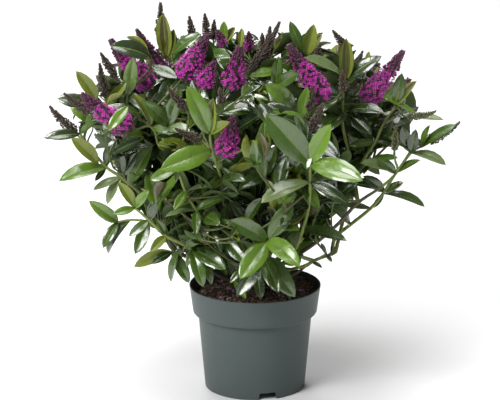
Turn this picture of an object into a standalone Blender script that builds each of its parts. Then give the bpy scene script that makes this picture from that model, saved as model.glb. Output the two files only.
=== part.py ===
"""A flowering hebe shrub standing in its plastic nursery pot.

Units are metres and +Z is up. The pot's axis is the Z axis, its foot stands at
Z = 0, and the shrub's front looks towards -Y with +X on its right.

The shrub is a short flared trunk, one bough for each mass of foliage, and the
masses. Every mass keeps to its own cell of space, on its own side of the planes
half way to its neighbours. A stem grows on from the bough's tip, shoots branch
from the stem to spots on the crown's outline, and each shoot carries crossed
pairs of leaves and sometimes a flower spike.
"""

import math
from random import Random

import bmesh
import bpy
from mathutils import Matrix, Vector
from mathutils.bvhtree import BVHTree

# Pot
POT_HEIGHT = 0.1366
RIM_RADIUS = 0.0850
COLLAR_FOOT_RADIUS = 0.0805
COLLAR_HEIGHT = 0.0370
COLLAR_ROUND = 0.0035
BODY_TOP_RADIUS = 0.0737
FOOT_RADIUS = 0.0649
WALL = 0.0016
FLOOR_UNDERSIDE = 0.0105
FOOT_RING_WIDTH = 0.0024
LIP_ROUND = 0.0007
COLLAR_STEP = 0.0010
STEP_RISE = 0.0026
POT_SEGMENTS = 40
NOTCH_COUNT = 3
NOTCH_FIRST_BEARING = 284.6
NOTCH_WIDTH = 0.0260
NOTCH_TOP_WIDTH = 0.0210
NOTCH_HEIGHT = 0.0090
DRAIN_COUNT = 6
DRAIN_RADIUS = 0.0045
DRAIN_RING = 0.0420
DRAIN_TURN = 0.37
DRAIN_SIDES = 12
CUTTER_MARGIN = 0.2
CUTTER_DEPTH = 0.004
POT_SMOOTH_ANGLE = 35.0

# Soil
SOIL_LEVEL = 0.1255
SOIL_EDGE_DROP = 0.0030
SOIL_FLAT_RADIUS = 0.0180
SOIL_SEGMENTS = 32
SOIL_WALL_GAP = 0.0005
SOIL_SMOOTH_ANGLE = 30.0

# Trunk: share of its height and radius at that height
TRUNK_HEIGHT = 0.0420
TRUNK_LEAN = (0.0030, -0.0020)
TRUNK_SHAPE = ((0.0, 0.0135), (0.14, 0.0098), (0.40, 0.0082), (0.80, 0.0080), (1.0, 0.0068))
TRUNK_SIDES = 16
LIMB_SMOOTH_ANGLE = 60.0

# Clearances
SEAT_GAP = 0.0003
CELL_GAP = 0.0004
LIMB_GUARD = 0.0006

# Boughs
BOUGH_SIDES = 6
BOUGH_STEPS = 4
BOUGH_PULL = 0.40
BOUGH_TURN_UP = 0.25

# Tiers of foliage: name, count, first bearing in degrees, reach and height of the
# masses' centres, share of the way out at which the bough ends, share of the
# trunk's height at which it starts, its rise in degrees there, and its radii
TIERS = (
    ("low", 5, 270.0, 0.112, 0.190, 0.58, 0.22, 18.0, 0.0022, 0.0017),
    ("outer", 7, 180.0, 0.180, 0.290, 0.72, 0.52, 38.0, 0.0031, 0.0022),
    ("upper", 5, 234.0, 0.112, 0.392, 0.66, 0.84, 62.0, 0.0030, 0.0021),
    ("top", 1, 0.0, 0.000, 0.432, 0.56, 1.0, 90.0, 0.0028, 0.0020),
)

# Outline swept by the shoots' tips: radius and height, from the bottom to the top
CROWN_OUTLINE = (
    (0.078, 0.168), (0.132, 0.188), (0.186, 0.232), (0.224, 0.280), (0.236, 0.326),
    (0.226, 0.372), (0.196, 0.412), (0.148, 0.440), (0.084, 0.458), (0.000, 0.464),
)
OUTER_SHOOTS = 64
INNER_SHOOTS = 15
INNER_SHARE = 0.60
INNER_CENTRE_HEIGHT = 0.235
CROWN_UNEVENNESS = 0.12
CROWN_REACH = 0.262
RIGHT_LIFT = 0.030
RIGHT_CUT = 0.14
SPIKE_CLEARANCE = 0.034
SHOOT_LOWEST_CLIMB = 12.0
SHOOT_CLIMB_GAIN = 52.0
SHOOT_TOP_CLIMB_GAIN = 22.0
SHOOT_TOP_REACH = 0.15
GOLDEN_TURN = math.pi * (3.0 - math.sqrt(5.0))

# Twigs
STEM_RADIUS = 0.0023
STEM_TIP_RADIUS = 0.0017
STEM_SIDES = 4
STEM_STEPS = 3
STEM_REACH = 0.9
STEM_START_PULL = 0.35
STEM_END_PULL = 0.30
SHOOT_RADIUS = 0.0020
SHOOT_TIP_RADIUS = 0.00125
SHOOT_SIDES = 3
SHOOT_STEPS = 3
SHOOT_START_PULL = 0.30
SHOOT_END_PULL = 0.40
SHOOT_BENDS = (1.0, 0.5, 0.1)
SHOOT_FIRST_SHARE = 0.25
SHOOT_LAST_SHARE = 0.95

# Leaf pairs: distance back from the shoot's tip, leaf length, angle off the shoot
LEAF_PAIRS = ((0.008, 0.048, 28.0), (0.034, 0.068, 56.0), (0.064, 0.070, 80.0))
LEAF_SPIKE_DROP = 0.006
LEAF_ANGLE_SPREAD = 9.0
LEAF_ROLL_SPREAD = 0.25
LEAF_SIZES = (0.86, 1.10)
LEAF_WIDTH_SHARE = 0.36
LEAF_WIDEST = 0.46
LEAF_TIP = 0.975
LEAF_RIDGE = 0.012
LEAF_THICKNESS = 0.0013
LEAF_FOLD = 0.040
LEAF_DROOP = 0.16
LEAF_LIGHT_TURN = 0.45
LEAF_SHORTER = 0.82
LEAF_TRIES = ((0.0, 1.0), (0.5, 1.0), (-0.5, 1.0), (0.9, LEAF_SHORTER), (-0.9, LEAF_SHORTER))
LEAF_CLEAR_FROM = 0.22

# A leaf's faces by its corners: foot, tip, two edges, upper and lower middle
LEAF_FACES = ((4, 0, 2), (4, 2, 1), (4, 1, 3), (4, 3, 0), (5, 2, 0), (5, 1, 2), (5, 3, 1), (5, 0, 3))

# Flower spikes: shares of the length, and shares of the greatest radius there
BLOOM_SHAPE = ((0.0, 0.35), (0.14, 1.0), (0.52, 0.92), (0.82, 0.48))
BUD_SHAPE = ((0.0, 0.35), (0.14, 1.0), (0.82, 0.48))
SPIKE_SINK = 0.002
BLOOM_RADIUS = 0.0088
BLOOM_SIDES = 5
BUD_RADIUS = 0.0044
BUD_SIDES = 4
BUD_LENGTHS = (0.022, 0.050)
BLOOM_LENGTHS = (0.055, 0.075)
SPIKE_LOWEST = 0.330
BUD_CHANCE = 0.50
BLOOM_CHANCE = 0.24
BLOOM_BACK_BEARINGS = (-25.0, 205.0)

# Spikes that show at the front: foot across, foot back from the axis, foot height,
# lean to the right in degrees, length, and whether it is in bloom
SHOW_SPIKES = (
    (-0.156, -0.090, 0.362, -50, 0.074, True),
    (-0.132, -0.020, 0.401, -38, 0.079, True),
    (-0.109, 0.030, 0.405, -34, 0.074, True),
    (-0.089, -0.080, 0.426, 29, 0.063, True),
    (-0.028, -0.090, 0.415, 10, 0.054, True),
    (0.085, -0.100, 0.404, -33, 0.082, True),
    (0.140, -0.030, 0.384, 36, 0.082, True),
    (-0.036, -0.165, 0.348, 11, 0.051, True),
    (-0.120, 0.020, 0.456, 1, 0.046, False),
    (-0.006, -0.060, 0.425, 28, 0.077, False),
    (-0.227, -0.020, 0.341, -41, 0.048, False),
    (-0.085, -0.110, 0.394, -38, 0.034, False),
    (0.067, -0.120, 0.394, 6, 0.031, False),
    (0.120, 0.020, 0.440, -40, 0.034, False),
    (0.194, -0.030, 0.366, 74, 0.036, False),
    (0.220, -0.035, 0.333, 53, 0.046, False),
)
SHOW_TILT_TO_FRONT = 0.10
SHOW_FIRST_SEED = 1000

# Colours
POT_COLOUR = (0.105, 0.136, 0.130)
SOIL_COLOUR = (0.024, 0.014, 0.009)
BARK_COLOUR = (0.105, 0.062, 0.036)
FOLIAGE_COLOUR = (0.045, 0.115, 0.028)


def clear_scene():
    """Remove every object that the scene starts with."""
    for item in list(bpy.data.objects):
        bpy.data.objects.remove(item, do_unlink=True)


def principled(name, colour, roughness, metallic=0.0):
    """A Principled material of one colour."""
    material = bpy.data.materials.new(name)
    material.use_nodes = True
    shader = material.node_tree.nodes["Principled BSDF"]
    shader.inputs["Base Color"].default_value = (*colour, 1.0)
    shader.inputs["Roughness"].default_value = roughness
    shader.inputs["Metallic"].default_value = metallic
    return material


def new_object(name, mesh, material, smooth_below=None):
    """Link a mesh to the scene as one named object."""
    mesh.materials.clear()
    mesh.materials.append(material)
    if smooth_below is not None:
        mesh.shade_smooth()
        mesh.set_sharp_from_angle(angle=math.radians(smooth_below))
    item = bpy.data.objects.new(name, mesh)
    bpy.context.scene.collection.objects.link(item)
    return item


def mesh_of(name, points, faces):
    """A mesh from points and faces, with its faces turned outwards."""
    mesh = bpy.data.meshes.new(name)
    mesh.from_pydata([tuple(point) for point in points], [], faces)
    sheet = bmesh.new()
    sheet.from_mesh(mesh)
    bmesh.ops.recalc_face_normals(sheet, faces=sheet.faces)
    sheet.to_mesh(mesh)
    sheet.free()
    return mesh


def polar(bearing, reach, height):
    """A point at a bearing in degrees, a distance from the axis and a height."""
    turn = math.radians(bearing)
    return Vector((reach * math.cos(turn), reach * math.sin(turn), height))


def square_to(direction):
    """Two unit vectors square to a direction and to each other."""
    guide = Vector((0, 0, 1)) if abs(direction.z) < 0.9 else Vector((1, 0, 0))
    first = direction.cross(guide).normalized()
    return first, direction.cross(first).normalized()


def turned(profile, segments):
    """Points and faces of a profile of radius and height turned about Z."""
    points, rings, faces = [], [], []
    for radius, height in profile:
        if radius == 0.0:
            rings.append([len(points)] * segments)
            points.append((0.0, 0.0, height))
            continue
        rings.append([len(points) + step for step in range(segments)])
        for step in range(segments):
            turn = math.tau * step / segments
            points.append((radius * math.cos(turn), radius * math.sin(turn), height))
    closed = profile[0][0] != 0.0
    last = len(rings) if closed else len(rings) - 1
    for row in range(last):
        near, far = rings[row], rings[(row + 1) % len(rings)]
        for step in range(segments):
            ahead = (step + 1) % segments
            corners = list(dict.fromkeys([near[step], near[ahead], far[ahead], far[step]]))
            if len(corners) > 2:
                faces.append(corners)
    return points, faces


def tube(points, radii, sides):
    """Points and faces of a round limb along points, with flat ends."""
    rings, faces = [], []
    across = square_to((points[1] - points[0]).normalized())[0]
    for step, point in enumerate(points):
        before = points[max(step - 1, 0)]
        after = points[min(step + 1, len(points) - 1)]
        along = (after - before).normalized()
        across = (across - along * across.dot(along)).normalized()
        other = along.cross(across)
        for side in range(sides):
            turn = math.tau * side / sides
            rings.append(point + radii[step] * (across * math.cos(turn) + other * math.sin(turn)))
    for step in range(len(points) - 1):
        near, far = step * sides, (step + 1) * sides
        for side in range(sides):
            ahead = (side + 1) % sides
            faces.append([near + side, near + ahead, far + ahead, far + side])
    last = (len(points) - 1) * sides
    faces.append(list(range(sides))[::-1])
    faces.append([last + side for side in range(sides)])
    return rings, faces


def tapered(first, last, steps):
    """Radii that change evenly from the first to the last."""
    return [first + (last - first) * step / steps for step in range(steps + 1)]


def bezier(start, start_pull, end_pull, end, steps):
    """Points along a cubic curve."""
    line = []
    for step in range(steps + 1):
        t = step / steps
        s = 1.0 - t
        line.append(s ** 3 * start + 3 * s * s * t * start_pull + 3 * s * t * t * end_pull + t ** 3 * end)
    return line


def apply_boolean(item, operation, other=None, group=None, solver="EXACT"):
    """Cut or join with another object or a collection, and keep the result."""
    boolean = item.modifiers.new("Boolean", "BOOLEAN")
    boolean.operation = operation
    boolean.solver = solver
    if group is not None:
        boolean.operand_type = "COLLECTION"
        boolean.collection = group
    else:
        boolean.object = other
    graph = bpy.context.evaluated_depsgraph_get()
    result = bpy.data.meshes.new_from_object(item.evaluated_get(graph))
    item.modifiers.remove(boolean)
    item.data = result


def pot_profile():
    """Radius and height of the pot's wall, from under the foot round and back."""
    collar_foot = POT_HEIGHT - COLLAR_HEIGHT
    foot_slope = (BODY_TOP_RADIUS - FOOT_RADIUS) / collar_foot
    floor_top = FLOOR_UNDERSIDE + WALL
    inner_foot = FOOT_RADIUS - FOOT_RING_WIDTH
    round_corner = COLLAR_ROUND * (1.0 - math.sqrt(0.5))
    return (
        (inner_foot, 0.0),
        (FOOT_RADIUS, 0.0),
        (BODY_TOP_RADIUS, collar_foot),
        (COLLAR_FOOT_RADIUS - COLLAR_ROUND, collar_foot),
        (COLLAR_FOOT_RADIUS - round_corner, collar_foot + round_corner),
        (COLLAR_FOOT_RADIUS, collar_foot + COLLAR_ROUND),
        (RIM_RADIUS, POT_HEIGHT - LIP_ROUND),
        (RIM_RADIUS - LIP_ROUND, POT_HEIGHT),
        (RIM_RADIUS - WALL, POT_HEIGHT - LIP_ROUND),
        (COLLAR_FOOT_RADIUS - WALL, collar_foot + STEP_RISE),
        (BODY_TOP_RADIUS - WALL, collar_foot - COLLAR_STEP),
        (FOOT_RADIUS + foot_slope * floor_top - WALL, floor_top),
        (0.0, floor_top),
        (0.0, FLOOR_UNDERSIDE),
        (inner_foot, FLOOR_UNDERSIDE),
    )


def pot_inside_radius(height):
    """Radius of the pot's inner wall at a height above its floor."""
    inner = pot_profile()[8:12]
    for (upper_radius, upper), (lower_radius, lower) in zip(inner, inner[1:]):
        if height >= lower:
            share = (height - lower) / (upper - lower)
            return lower_radius + share * (upper_radius - lower_radius)
    return inner[-1][0]


def notch_cutter(bearing):
    """A wedge that cuts one notch through the foot."""
    half, top_half = NOTCH_WIDTH / 2, NOTCH_TOP_WIDTH / 2
    points = []
    for reach in (FOOT_RADIUS * (1.0 - CUTTER_MARGIN), FOOT_RADIUS * (1.0 + CUTTER_MARGIN)):
        points.append(Vector((reach, -half, -CUTTER_DEPTH)))
        points.append(Vector((reach, half, -CUTTER_DEPTH)))
        points.append(Vector((reach, top_half, NOTCH_HEIGHT)))
        points.append(Vector((reach, -top_half, NOTCH_HEIGHT)))
    turn = Matrix.Rotation(math.radians(bearing), 3, "Z")
    faces = [[0, 1, 2, 3], [7, 6, 5, 4], [0, 4, 5, 1], [1, 5, 6, 2], [2, 6, 7, 3], [3, 7, 4, 0]]
    return mesh_of("notch", [turn @ point for point in points], faces)


def drain_cutter(bearing):
    """A short rod that cuts one drain hole through the pot's floor."""
    centre = polar(bearing, DRAIN_RING, FLOOR_UNDERSIDE + WALL / 2)
    rise = Vector((0, 0, CUTTER_DEPTH))
    radii = (DRAIN_RADIUS, DRAIN_RADIUS)
    return mesh_of("drain", *tube([centre - rise, centre + rise], radii, DRAIN_SIDES))


def build_pot(material):
    """The pot: one turned wall with foot notches and drain holes."""
    pot = new_object("pot", mesh_of("pot", *turned(pot_profile(), POT_SEGMENTS)), material)
    cutters = [notch_cutter(NOTCH_FIRST_BEARING + 360.0 * step / NOTCH_COUNT) for step in range(NOTCH_COUNT)]
    cutters += [drain_cutter(360.0 * (step + DRAIN_TURN) / DRAIN_COUNT) for step in range(DRAIN_COUNT)]
    for mesh in cutters:
        cutter = new_object("cutter", mesh, material)
        apply_boolean(pot, "DIFFERENCE", other=cutter)
        bpy.data.objects.remove(cutter, do_unlink=True)
    pot.data.shade_smooth()
    pot.data.set_sharp_from_angle(angle=math.radians(POT_SMOOTH_ANGLE))


def build_soil(material):
    """The filled inside of the pot, with a flat seat for the trunk."""
    floor = FLOOR_UNDERSIDE + WALL + SEAT_GAP
    step_foot = POT_HEIGHT - COLLAR_HEIGHT - COLLAR_STEP
    step_top = POT_HEIGHT - COLLAR_HEIGHT + STEP_RISE
    edge = SOIL_LEVEL - SOIL_EDGE_DROP
    profile = [(0.0, floor)]
    for height in (floor, step_foot, step_top, edge):
        profile.append((pot_inside_radius(height) - SOIL_WALL_GAP, height))
    profile += [(SOIL_FLAT_RADIUS, SOIL_LEVEL), (0.0, SOIL_LEVEL)]
    new_object("soil", mesh_of("soil", *turned(profile, SOIL_SEGMENTS)), material, SOIL_SMOOTH_ANGLE)


def trunk_axis(share):
    """The trunk's centre at a share of its height."""
    lean = share * share
    foot = SOIL_LEVEL + SEAT_GAP
    return Vector((TRUNK_LEAN[0] * lean, TRUNK_LEAN[1] * lean, foot + TRUNK_HEIGHT * share))


def trunk_radius(share):
    """The trunk's radius at a share of its height."""
    for (low, low_radius), (high, high_radius) in zip(TRUNK_SHAPE, TRUNK_SHAPE[1:]):
        if share <= high:
            return low_radius + (high_radius - low_radius) * (share - low) / (high - low)
    return TRUNK_SHAPE[-1][1]


def build_trunk(material):
    """The short trunk, flared from its flat cut at soil level up to its fork."""
    points = [trunk_axis(share) for share, _ in TRUNK_SHAPE]
    rings, faces = tube(points, [radius for _, radius in TRUNK_SHAPE], TRUNK_SIDES)
    for side in range(TRUNK_SIDES):
        rings[side].z = trunk_axis(0.0).z
        rings[side - TRUNK_SIDES].z = trunk_axis(1.0).z
    new_object("trunk", mesh_of("trunk", rings, faces), material, LIMB_SMOOTH_ANGLE)


class Mass:
    """One mass of foliage: its centre, its bough and the stem that grows on."""

    def __init__(self, tier, number):
        name, count, first, reach, height, share, seat, rise, radius, tip_radius = tier
        self.name = f"{name}_{number + 1}" if count > 1 else name
        bearing = first + 360.0 * number / count
        self.site = polar(bearing, reach, height)
        fork = trunk_axis(seat)
        if count > 1:
            out = polar(bearing, 1.0, 0.0)
            climb = math.radians(rise)
            heading = out * math.cos(climb) + Vector((0, 0, math.sin(climb)))
            beside = min(seat + radius * math.cos(climb) / TRUNK_HEIGHT, 1.0)
            start = trunk_axis(beside) + out * (trunk_radius(beside) + SEAT_GAP + radius * math.sin(climb))
            start.z = fork.z
        else:
            heading = Vector((0, 0, 1))
            start = fork + heading * SEAT_GAP
        self.root = start.lerp(self.site, share)
        pull = (self.root - start).length * BOUGH_PULL
        arrive = (self.site - self.root).normalized().lerp(Vector((0, 0, 1)), BOUGH_TURN_UP).normalized()
        self.heading = arrive
        self.bough = bezier(start, start + heading * pull, self.root - arrive * pull, self.root, BOUGH_STEPS)
        self.bough_radii = tapered(radius, tip_radius, BOUGH_STEPS)
        self.planes = []

    def set_planes(self, masses):
        """Planes half way to every neighbour, facing into this mass's cell."""
        for other in masses:
            if other is not self:
                inward = (self.site - other.site).normalized()
                self.planes.append((inward, (self.site + other.site) * 0.5))

    def holds(self, points):
        """Whether every point lies inside this mass's cell."""
        for inward, middle in self.planes:
            if any((point - middle).dot(inward) < CELL_GAP for point in points):
                return False
        return True


def grow_masses():
    """Every mass of the crown with its cell."""
    masses = [Mass(tier, number) for tier in TIERS for number in range(tier[1])]
    for mass in masses:
        mass.set_planes(masses)
    return masses


def outline_spots(outline, count):
    """Spots spread evenly over the surface that an outline sweeps about Z."""
    bands = []
    for (radius, height), (next_radius, next_height) in zip(outline, outline[1:]):
        slant = math.hypot(next_radius - radius, next_height - height)
        bands.append((radius + next_radius) * slant)
    whole = sum(bands)
    spots = []
    for number in range(count):
        wanted = whole * (number + 0.5) / count
        row = 0
        while wanted > bands[row]:
            wanted -= bands[row]
            row += 1
        share = wanted / bands[row]
        radius = outline[row][0] + (outline[row + 1][0] - outline[row][0]) * share
        height = outline[row][1] + (outline[row + 1][1] - outline[row][1]) * share
        spots.append(polar(math.degrees(GOLDEN_TURN * number), radius, height))
    return spots


def lifted_right(spot):
    """A spot moved up and in where it lies low down on the right."""
    widest = max(CROWN_OUTLINE)[1]
    low = min(max((widest - spot.z) / (widest - CROWN_OUTLINE[0][1]), 0.0), 1.0)
    right = max(spot.x, 0.0) / max(CROWN_OUTLINE)[0]
    cut = 1.0 - RIGHT_CUT * low * right
    return Vector((spot.x * cut, spot.y * cut, spot.z + RIGHT_LIFT * low * right))


def shoot_heading(spot):
    """The way a shoot points at its tip: outwards low down, upwards at the top."""
    low, high = CROWN_OUTLINE[0][1], CROWN_OUTLINE[-1][1]
    share = min(max((spot.z - low) / (high - low), 0.0), 1.0)
    reach = math.hypot(spot.x, spot.y)
    middle = max(0.0, 1.0 - reach / SHOOT_TOP_REACH)
    climb = math.radians(SHOOT_LOWEST_CLIMB + (SHOOT_CLIMB_GAIN + SHOOT_TOP_CLIMB_GAIN * middle) * share)
    out = Vector((spot.x, spot.y, 0.0)).normalized()
    return out * math.cos(climb) + Vector((0, 0, math.sin(climb)))


class Shoot:
    """One shoot: its tip, the way it points there, and its flower spike."""

    def __init__(self, tip, heading, seed, spike=None, bloom=False):
        self.tip = tip
        self.heading = heading
        self.seed = seed
        self.spike = spike
        self.bloom = bloom

    def middle(self):
        """The middle of what the shoot's tip carries."""
        return self.tip + self.heading * (self.spike or 0.0) * 0.5


def show_shoots():
    """The shoots whose flower spikes show at the front."""
    shoots = []
    for number, (across, back, height, lean, length, bloom) in enumerate(SHOW_SPIKES):
        lean = math.radians(lean)
        heading = Vector((math.sin(lean), -SHOW_TILT_TO_FRONT, math.cos(lean))).normalized()
        tip = Vector((across, back, height))
        shoots.append(Shoot(tip, heading, SHOW_FIRST_SEED + number, length, bloom))
    return shoots


def ruled_shoots(shown):
    """The rest of the shoots, spread by the crown's outline."""
    shoots = []
    spots = outline_spots(CROWN_OUTLINE, OUTER_SHOOTS)
    inner = [(radius * INNER_SHARE, INNER_CENTRE_HEIGHT + (height - INNER_CENTRE_HEIGHT) * INNER_SHARE)
             for radius, height in CROWN_OUTLINE]
    spots += outline_spots(inner, INNER_SHOOTS)
    centre = Vector((0, 0, INNER_CENTRE_HEIGHT))
    for number, spot in enumerate(spots):
        dice = Random(number)
        tip = lifted_right(centre + (spot - centre) * (1.0 - CROWN_UNEVENNESS * dice.random()))
        spike, bloom = None, False
        chance, length, bearing = dice.random(), dice.random(), math.degrees(math.atan2(spot.y, spot.x))
        at_back = BLOOM_BACK_BEARINGS[0] < (bearing + 90.0) % 360.0 - 90.0 < BLOOM_BACK_BEARINGS[1]
        if number < OUTER_SHOOTS and tip.z > SPIKE_LOWEST:
            bloom = at_back and chance < BLOOM_CHANCE
            shortest, longest = BLOOM_LENGTHS if bloom else BUD_LENGTHS
            if bloom or chance < BLOOM_CHANCE + BUD_CHANCE:
                spike = shortest + (longest - shortest) * length
        if all((tip - other.tip).length > SPIKE_CLEARANCE for other in shown):
            shoots.append(Shoot(tip, shoot_heading(tip), number, spike, bloom))
    return shoots


def leaf_points(base, along, face, length):
    """The six corners of a leaf folded along its midrib, with a drooping tip."""
    across = along.cross(face).normalized()
    half = length * LEAF_WIDTH_SHARE / 2
    middle = base + along * length * LEAF_WIDEST
    edge = middle + face * length * LEAF_FOLD
    ridge = middle + face * length * LEAF_RIDGE
    tip = base + along * length * LEAF_TIP - face * length * LEAF_DROOP
    return [base, tip, edge + across * half, edge - across * half, ridge, ridge - face * LEAF_THICKNESS]


def leaf_directions(along, side, angle):
    """The way a leaf points and the way its upper face looks."""
    lean = math.radians(angle)
    points = (along * math.cos(lean) + side * math.sin(lean)).normalized()
    face = along * math.sin(lean) - side * math.cos(lean)
    light = Vector((0, 0, 1))
    light = light - points * light.dot(points)
    face = (face + light * LEAF_LIGHT_TURN).normalized()
    return points, face


class Growth:
    """The solids of one mass, kept only where they stay in its cell and off the limbs."""

    def __init__(self, mass, guard):
        self.mass = mass
        self.guard = guard
        self.parts = []
        self.leaves = []

    def fits(self, points, faces):
        """Whether a solid stays in the cell and the crown's reach, and touches no limb."""
        if not self.mass.holds(points):
            return False
        if any(abs(point.x) > CROWN_REACH or abs(point.y) > CROWN_REACH for point in points):
            return False
        shape = BVHTree.FromPolygons([tuple(point) for point in points], faces)
        return not shape.overlap(self.guard)

    def add_stem(self):
        """The stem that grows on from the bough's tip."""
        mass = self.mass
        length = (mass.site - mass.root).length
        self.start = mass.root + mass.heading * SEAT_GAP
        self.end = mass.root.lerp(mass.site, STEM_REACH)
        start_pull = self.start + mass.heading * length * STEM_START_PULL
        end_pull = self.end.lerp(self.start, STEM_END_PULL)
        self.stem = bezier(self.start, start_pull, end_pull, self.end, STEM_STEPS)
        self.parts.append(tube(self.stem, tapered(STEM_RADIUS, STEM_TIP_RADIUS, STEM_STEPS), STEM_SIDES))

    def along_stem(self, share):
        """A point at a share of the stem."""
        place = share * (len(self.stem) - 1)
        step = min(int(place), len(self.stem) - 2)
        return self.stem[step].lerp(self.stem[step + 1], place - step)

    def add_shoot(self, shoot):
        """A shoot from the stem to its tip, with its leaves and its spike."""
        way = (shoot.tip - self.start).normalized()
        main = (self.end - self.start).normalized()
        along = max(0.0, way.dot(main)) ** 2
        foot = self.along_stem(SHOOT_FIRST_SHARE + (SHOOT_LAST_SHARE - SHOOT_FIRST_SHARE) * along)
        length = (shoot.tip - foot).length
        for bend in SHOOT_BENDS:
            start_pull = foot + main * length * SHOOT_START_PULL * bend
            end_pull = shoot.tip - shoot.heading * length * SHOOT_END_PULL * bend
            line = bezier(foot, start_pull, end_pull, shoot.tip, SHOOT_STEPS)
            points, faces = tube(line, tapered(SHOOT_RADIUS, SHOOT_TIP_RADIUS, SHOOT_STEPS), SHOOT_SIDES)
            if self.fits(points, faces):
                self.parts.append((points, faces))
                if shoot.spike:
                    self.add_spike(shoot)
                self.add_leaves(line, shoot)
                return

    def add_spike(self, shoot):
        """A flower spike or a bud spike on the shoot's tip."""
        widest = BLOOM_RADIUS if shoot.bloom else BUD_RADIUS
        sides = BLOOM_SIDES if shoot.bloom else BUD_SIDES
        shape = BLOOM_SHAPE if shoot.bloom else BUD_SHAPE
        centres = [shoot.tip + shoot.heading * shoot.spike * share for share, _ in shape]
        centres[0] -= shoot.heading * SPIKE_SINK
        points, faces = tube(centres, [widest * share for _, share in shape], sides)
        faces.pop()
        tip = len(points)
        points.append(shoot.tip + shoot.heading * shoot.spike)
        last = tip - sides
        for side in range(sides):
            faces.append([last + side, last + (side + 1) % sides, tip])
        if self.fits(points, faces):
            self.parts.append((points, faces))

    def add_leaves(self, line, shoot):
        """Crossed pairs of leaves down from the shoot's tip."""
        dice = Random(shoot.seed * 7 + 3)
        turn = dice.random() * math.pi
        for number, (back, length, angle) in enumerate(LEAF_PAIRS):
            point, along = walk_back(line, back + (LEAF_SPIKE_DROP if shoot.spike else 0.0))
            if point is None:
                return
            first, second = square_to(along)
            roll = turn + number * math.pi / 2 + dice.uniform(-LEAF_ROLL_SPREAD, LEAF_ROLL_SPREAD)
            for half in (0.0, math.pi):
                side = first * math.cos(roll + half) + second * math.sin(roll + half)
                lean = angle + dice.uniform(-LEAF_ANGLE_SPREAD, LEAF_ANGLE_SPREAD)
                self.add_leaf(point, along, side, lean, length * dice.uniform(*LEAF_SIZES))

    def add_leaf(self, point, along, side, lean, size):
        """A leaf, rolled round its twig or made shorter until it is clear of the others."""
        for roll, scale in LEAF_TRIES:
            towards = Matrix.Rotation(roll, 3, along) @ side
            points_to, face = leaf_directions(along, towards, lean)
            corners = leaf_points(point, points_to, face, size * scale)
            blade = [corners[0].lerp(corners[1], LEAF_CLEAR_FROM)] + corners[1:]
            shape = BVHTree.FromPolygons([tuple(corner) for corner in blade], LEAF_FACES)
            if any(shape.overlap(other) for other in self.leaves):
                continue
            if self.fits(corners, LEAF_FACES):
                self.parts.append((corners, LEAF_FACES))
                self.leaves.append(shape)
                return

    def build(self, material):
        """Join every solid of the mass into one."""
        group = bpy.data.collections.new("joining")
        bpy.context.scene.collection.children.link(group)
        whole = new_object("foliage_" + self.mass.name, mesh_of("foliage", *self.parts[0]), material)
        for points, faces in self.parts[1:]:
            piece = bpy.data.objects.new("piece", mesh_of("piece", points, faces))
            group.objects.link(piece)
        apply_boolean(whole, "UNION", group=group, solver="MANIFOLD")
        for piece in list(group.objects):
            bpy.data.objects.remove(piece, do_unlink=True)
        bpy.data.collections.remove(group)
        keep_outer_shell(whole.data)
        whole.data.materials.clear()
        whole.data.materials.append(material)


def walk_back(line, distance):
    """The point at a distance back from a line's end, and the line's direction there."""
    left = distance
    for step in range(len(line) - 1, 0, -1):
        span = (line[step] - line[step - 1]).length
        if left <= span:
            along = (line[step] - line[step - 1]).normalized()
            return line[step] - along * left, along
        left -= span
    return None, None


def signed_volume(faces):
    """The volume that faces close, positive where they look outwards."""
    total = 0.0
    for face in faces:
        corners = [vert.co for vert in face.verts]
        for second, third in zip(corners[1:], corners[2:]):
            total += corners[0].dot(second.cross(third)) / 6.0
    return total


def keep_outer_shell(mesh):
    """Drop loose scraps and fill sealed hollows: only the largest shell stays."""
    sheet = bmesh.new()
    sheet.from_mesh(mesh)
    bmesh.ops.triangulate(sheet, faces=sheet.faces)
    left = set(sheet.faces)
    shells = []
    while left:
        shell, edge = [], [left.pop()]
        while edge:
            face = edge.pop()
            shell.append(face)
            for side in face.edges:
                for near in side.link_faces:
                    if near in left:
                        left.remove(near)
                        edge.append(near)
        shells.append(shell)
    shells.sort(key=signed_volume)
    for shell in shells[:-1]:
        bmesh.ops.delete(sheet, geom=shell, context="FACES")
    bmesh.ops.delete(sheet, geom=[vert for vert in sheet.verts if not vert.link_faces], context="VERTS")
    sheet.to_mesh(mesh)
    sheet.free()


def guard_tree(masses):
    """The limbs, the pot and the soil, each a little stouter, for the foliage to miss."""
    points, faces = [], []

    def take(shape):
        offset = len(points)
        points.extend(tuple(point) for point in shape[0])
        faces.extend([corner + offset for corner in face] for face in shape[1])

    shares = [share for share, _ in TRUNK_SHAPE]
    take(tube([trunk_axis(share) for share in shares],
              [trunk_radius(share) + LIMB_GUARD for share in shares], TRUNK_SIDES))
    for mass in masses:
        take(tube(mass.bough, [radius + LIMB_GUARD for radius in mass.bough_radii], BOUGH_SIDES))
    outside = [
        (0.0, POT_HEIGHT + LIMB_GUARD), (RIM_RADIUS + LIMB_GUARD, POT_HEIGHT + LIMB_GUARD),
        (COLLAR_FOOT_RADIUS + LIMB_GUARD * 2, POT_HEIGHT - COLLAR_HEIGHT),
        (FOOT_RADIUS, 0.0), (0.0, 0.0),
    ]
    take(turned(outside, POT_SEGMENTS))
    return BVHTree.FromPolygons(points, faces)


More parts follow.
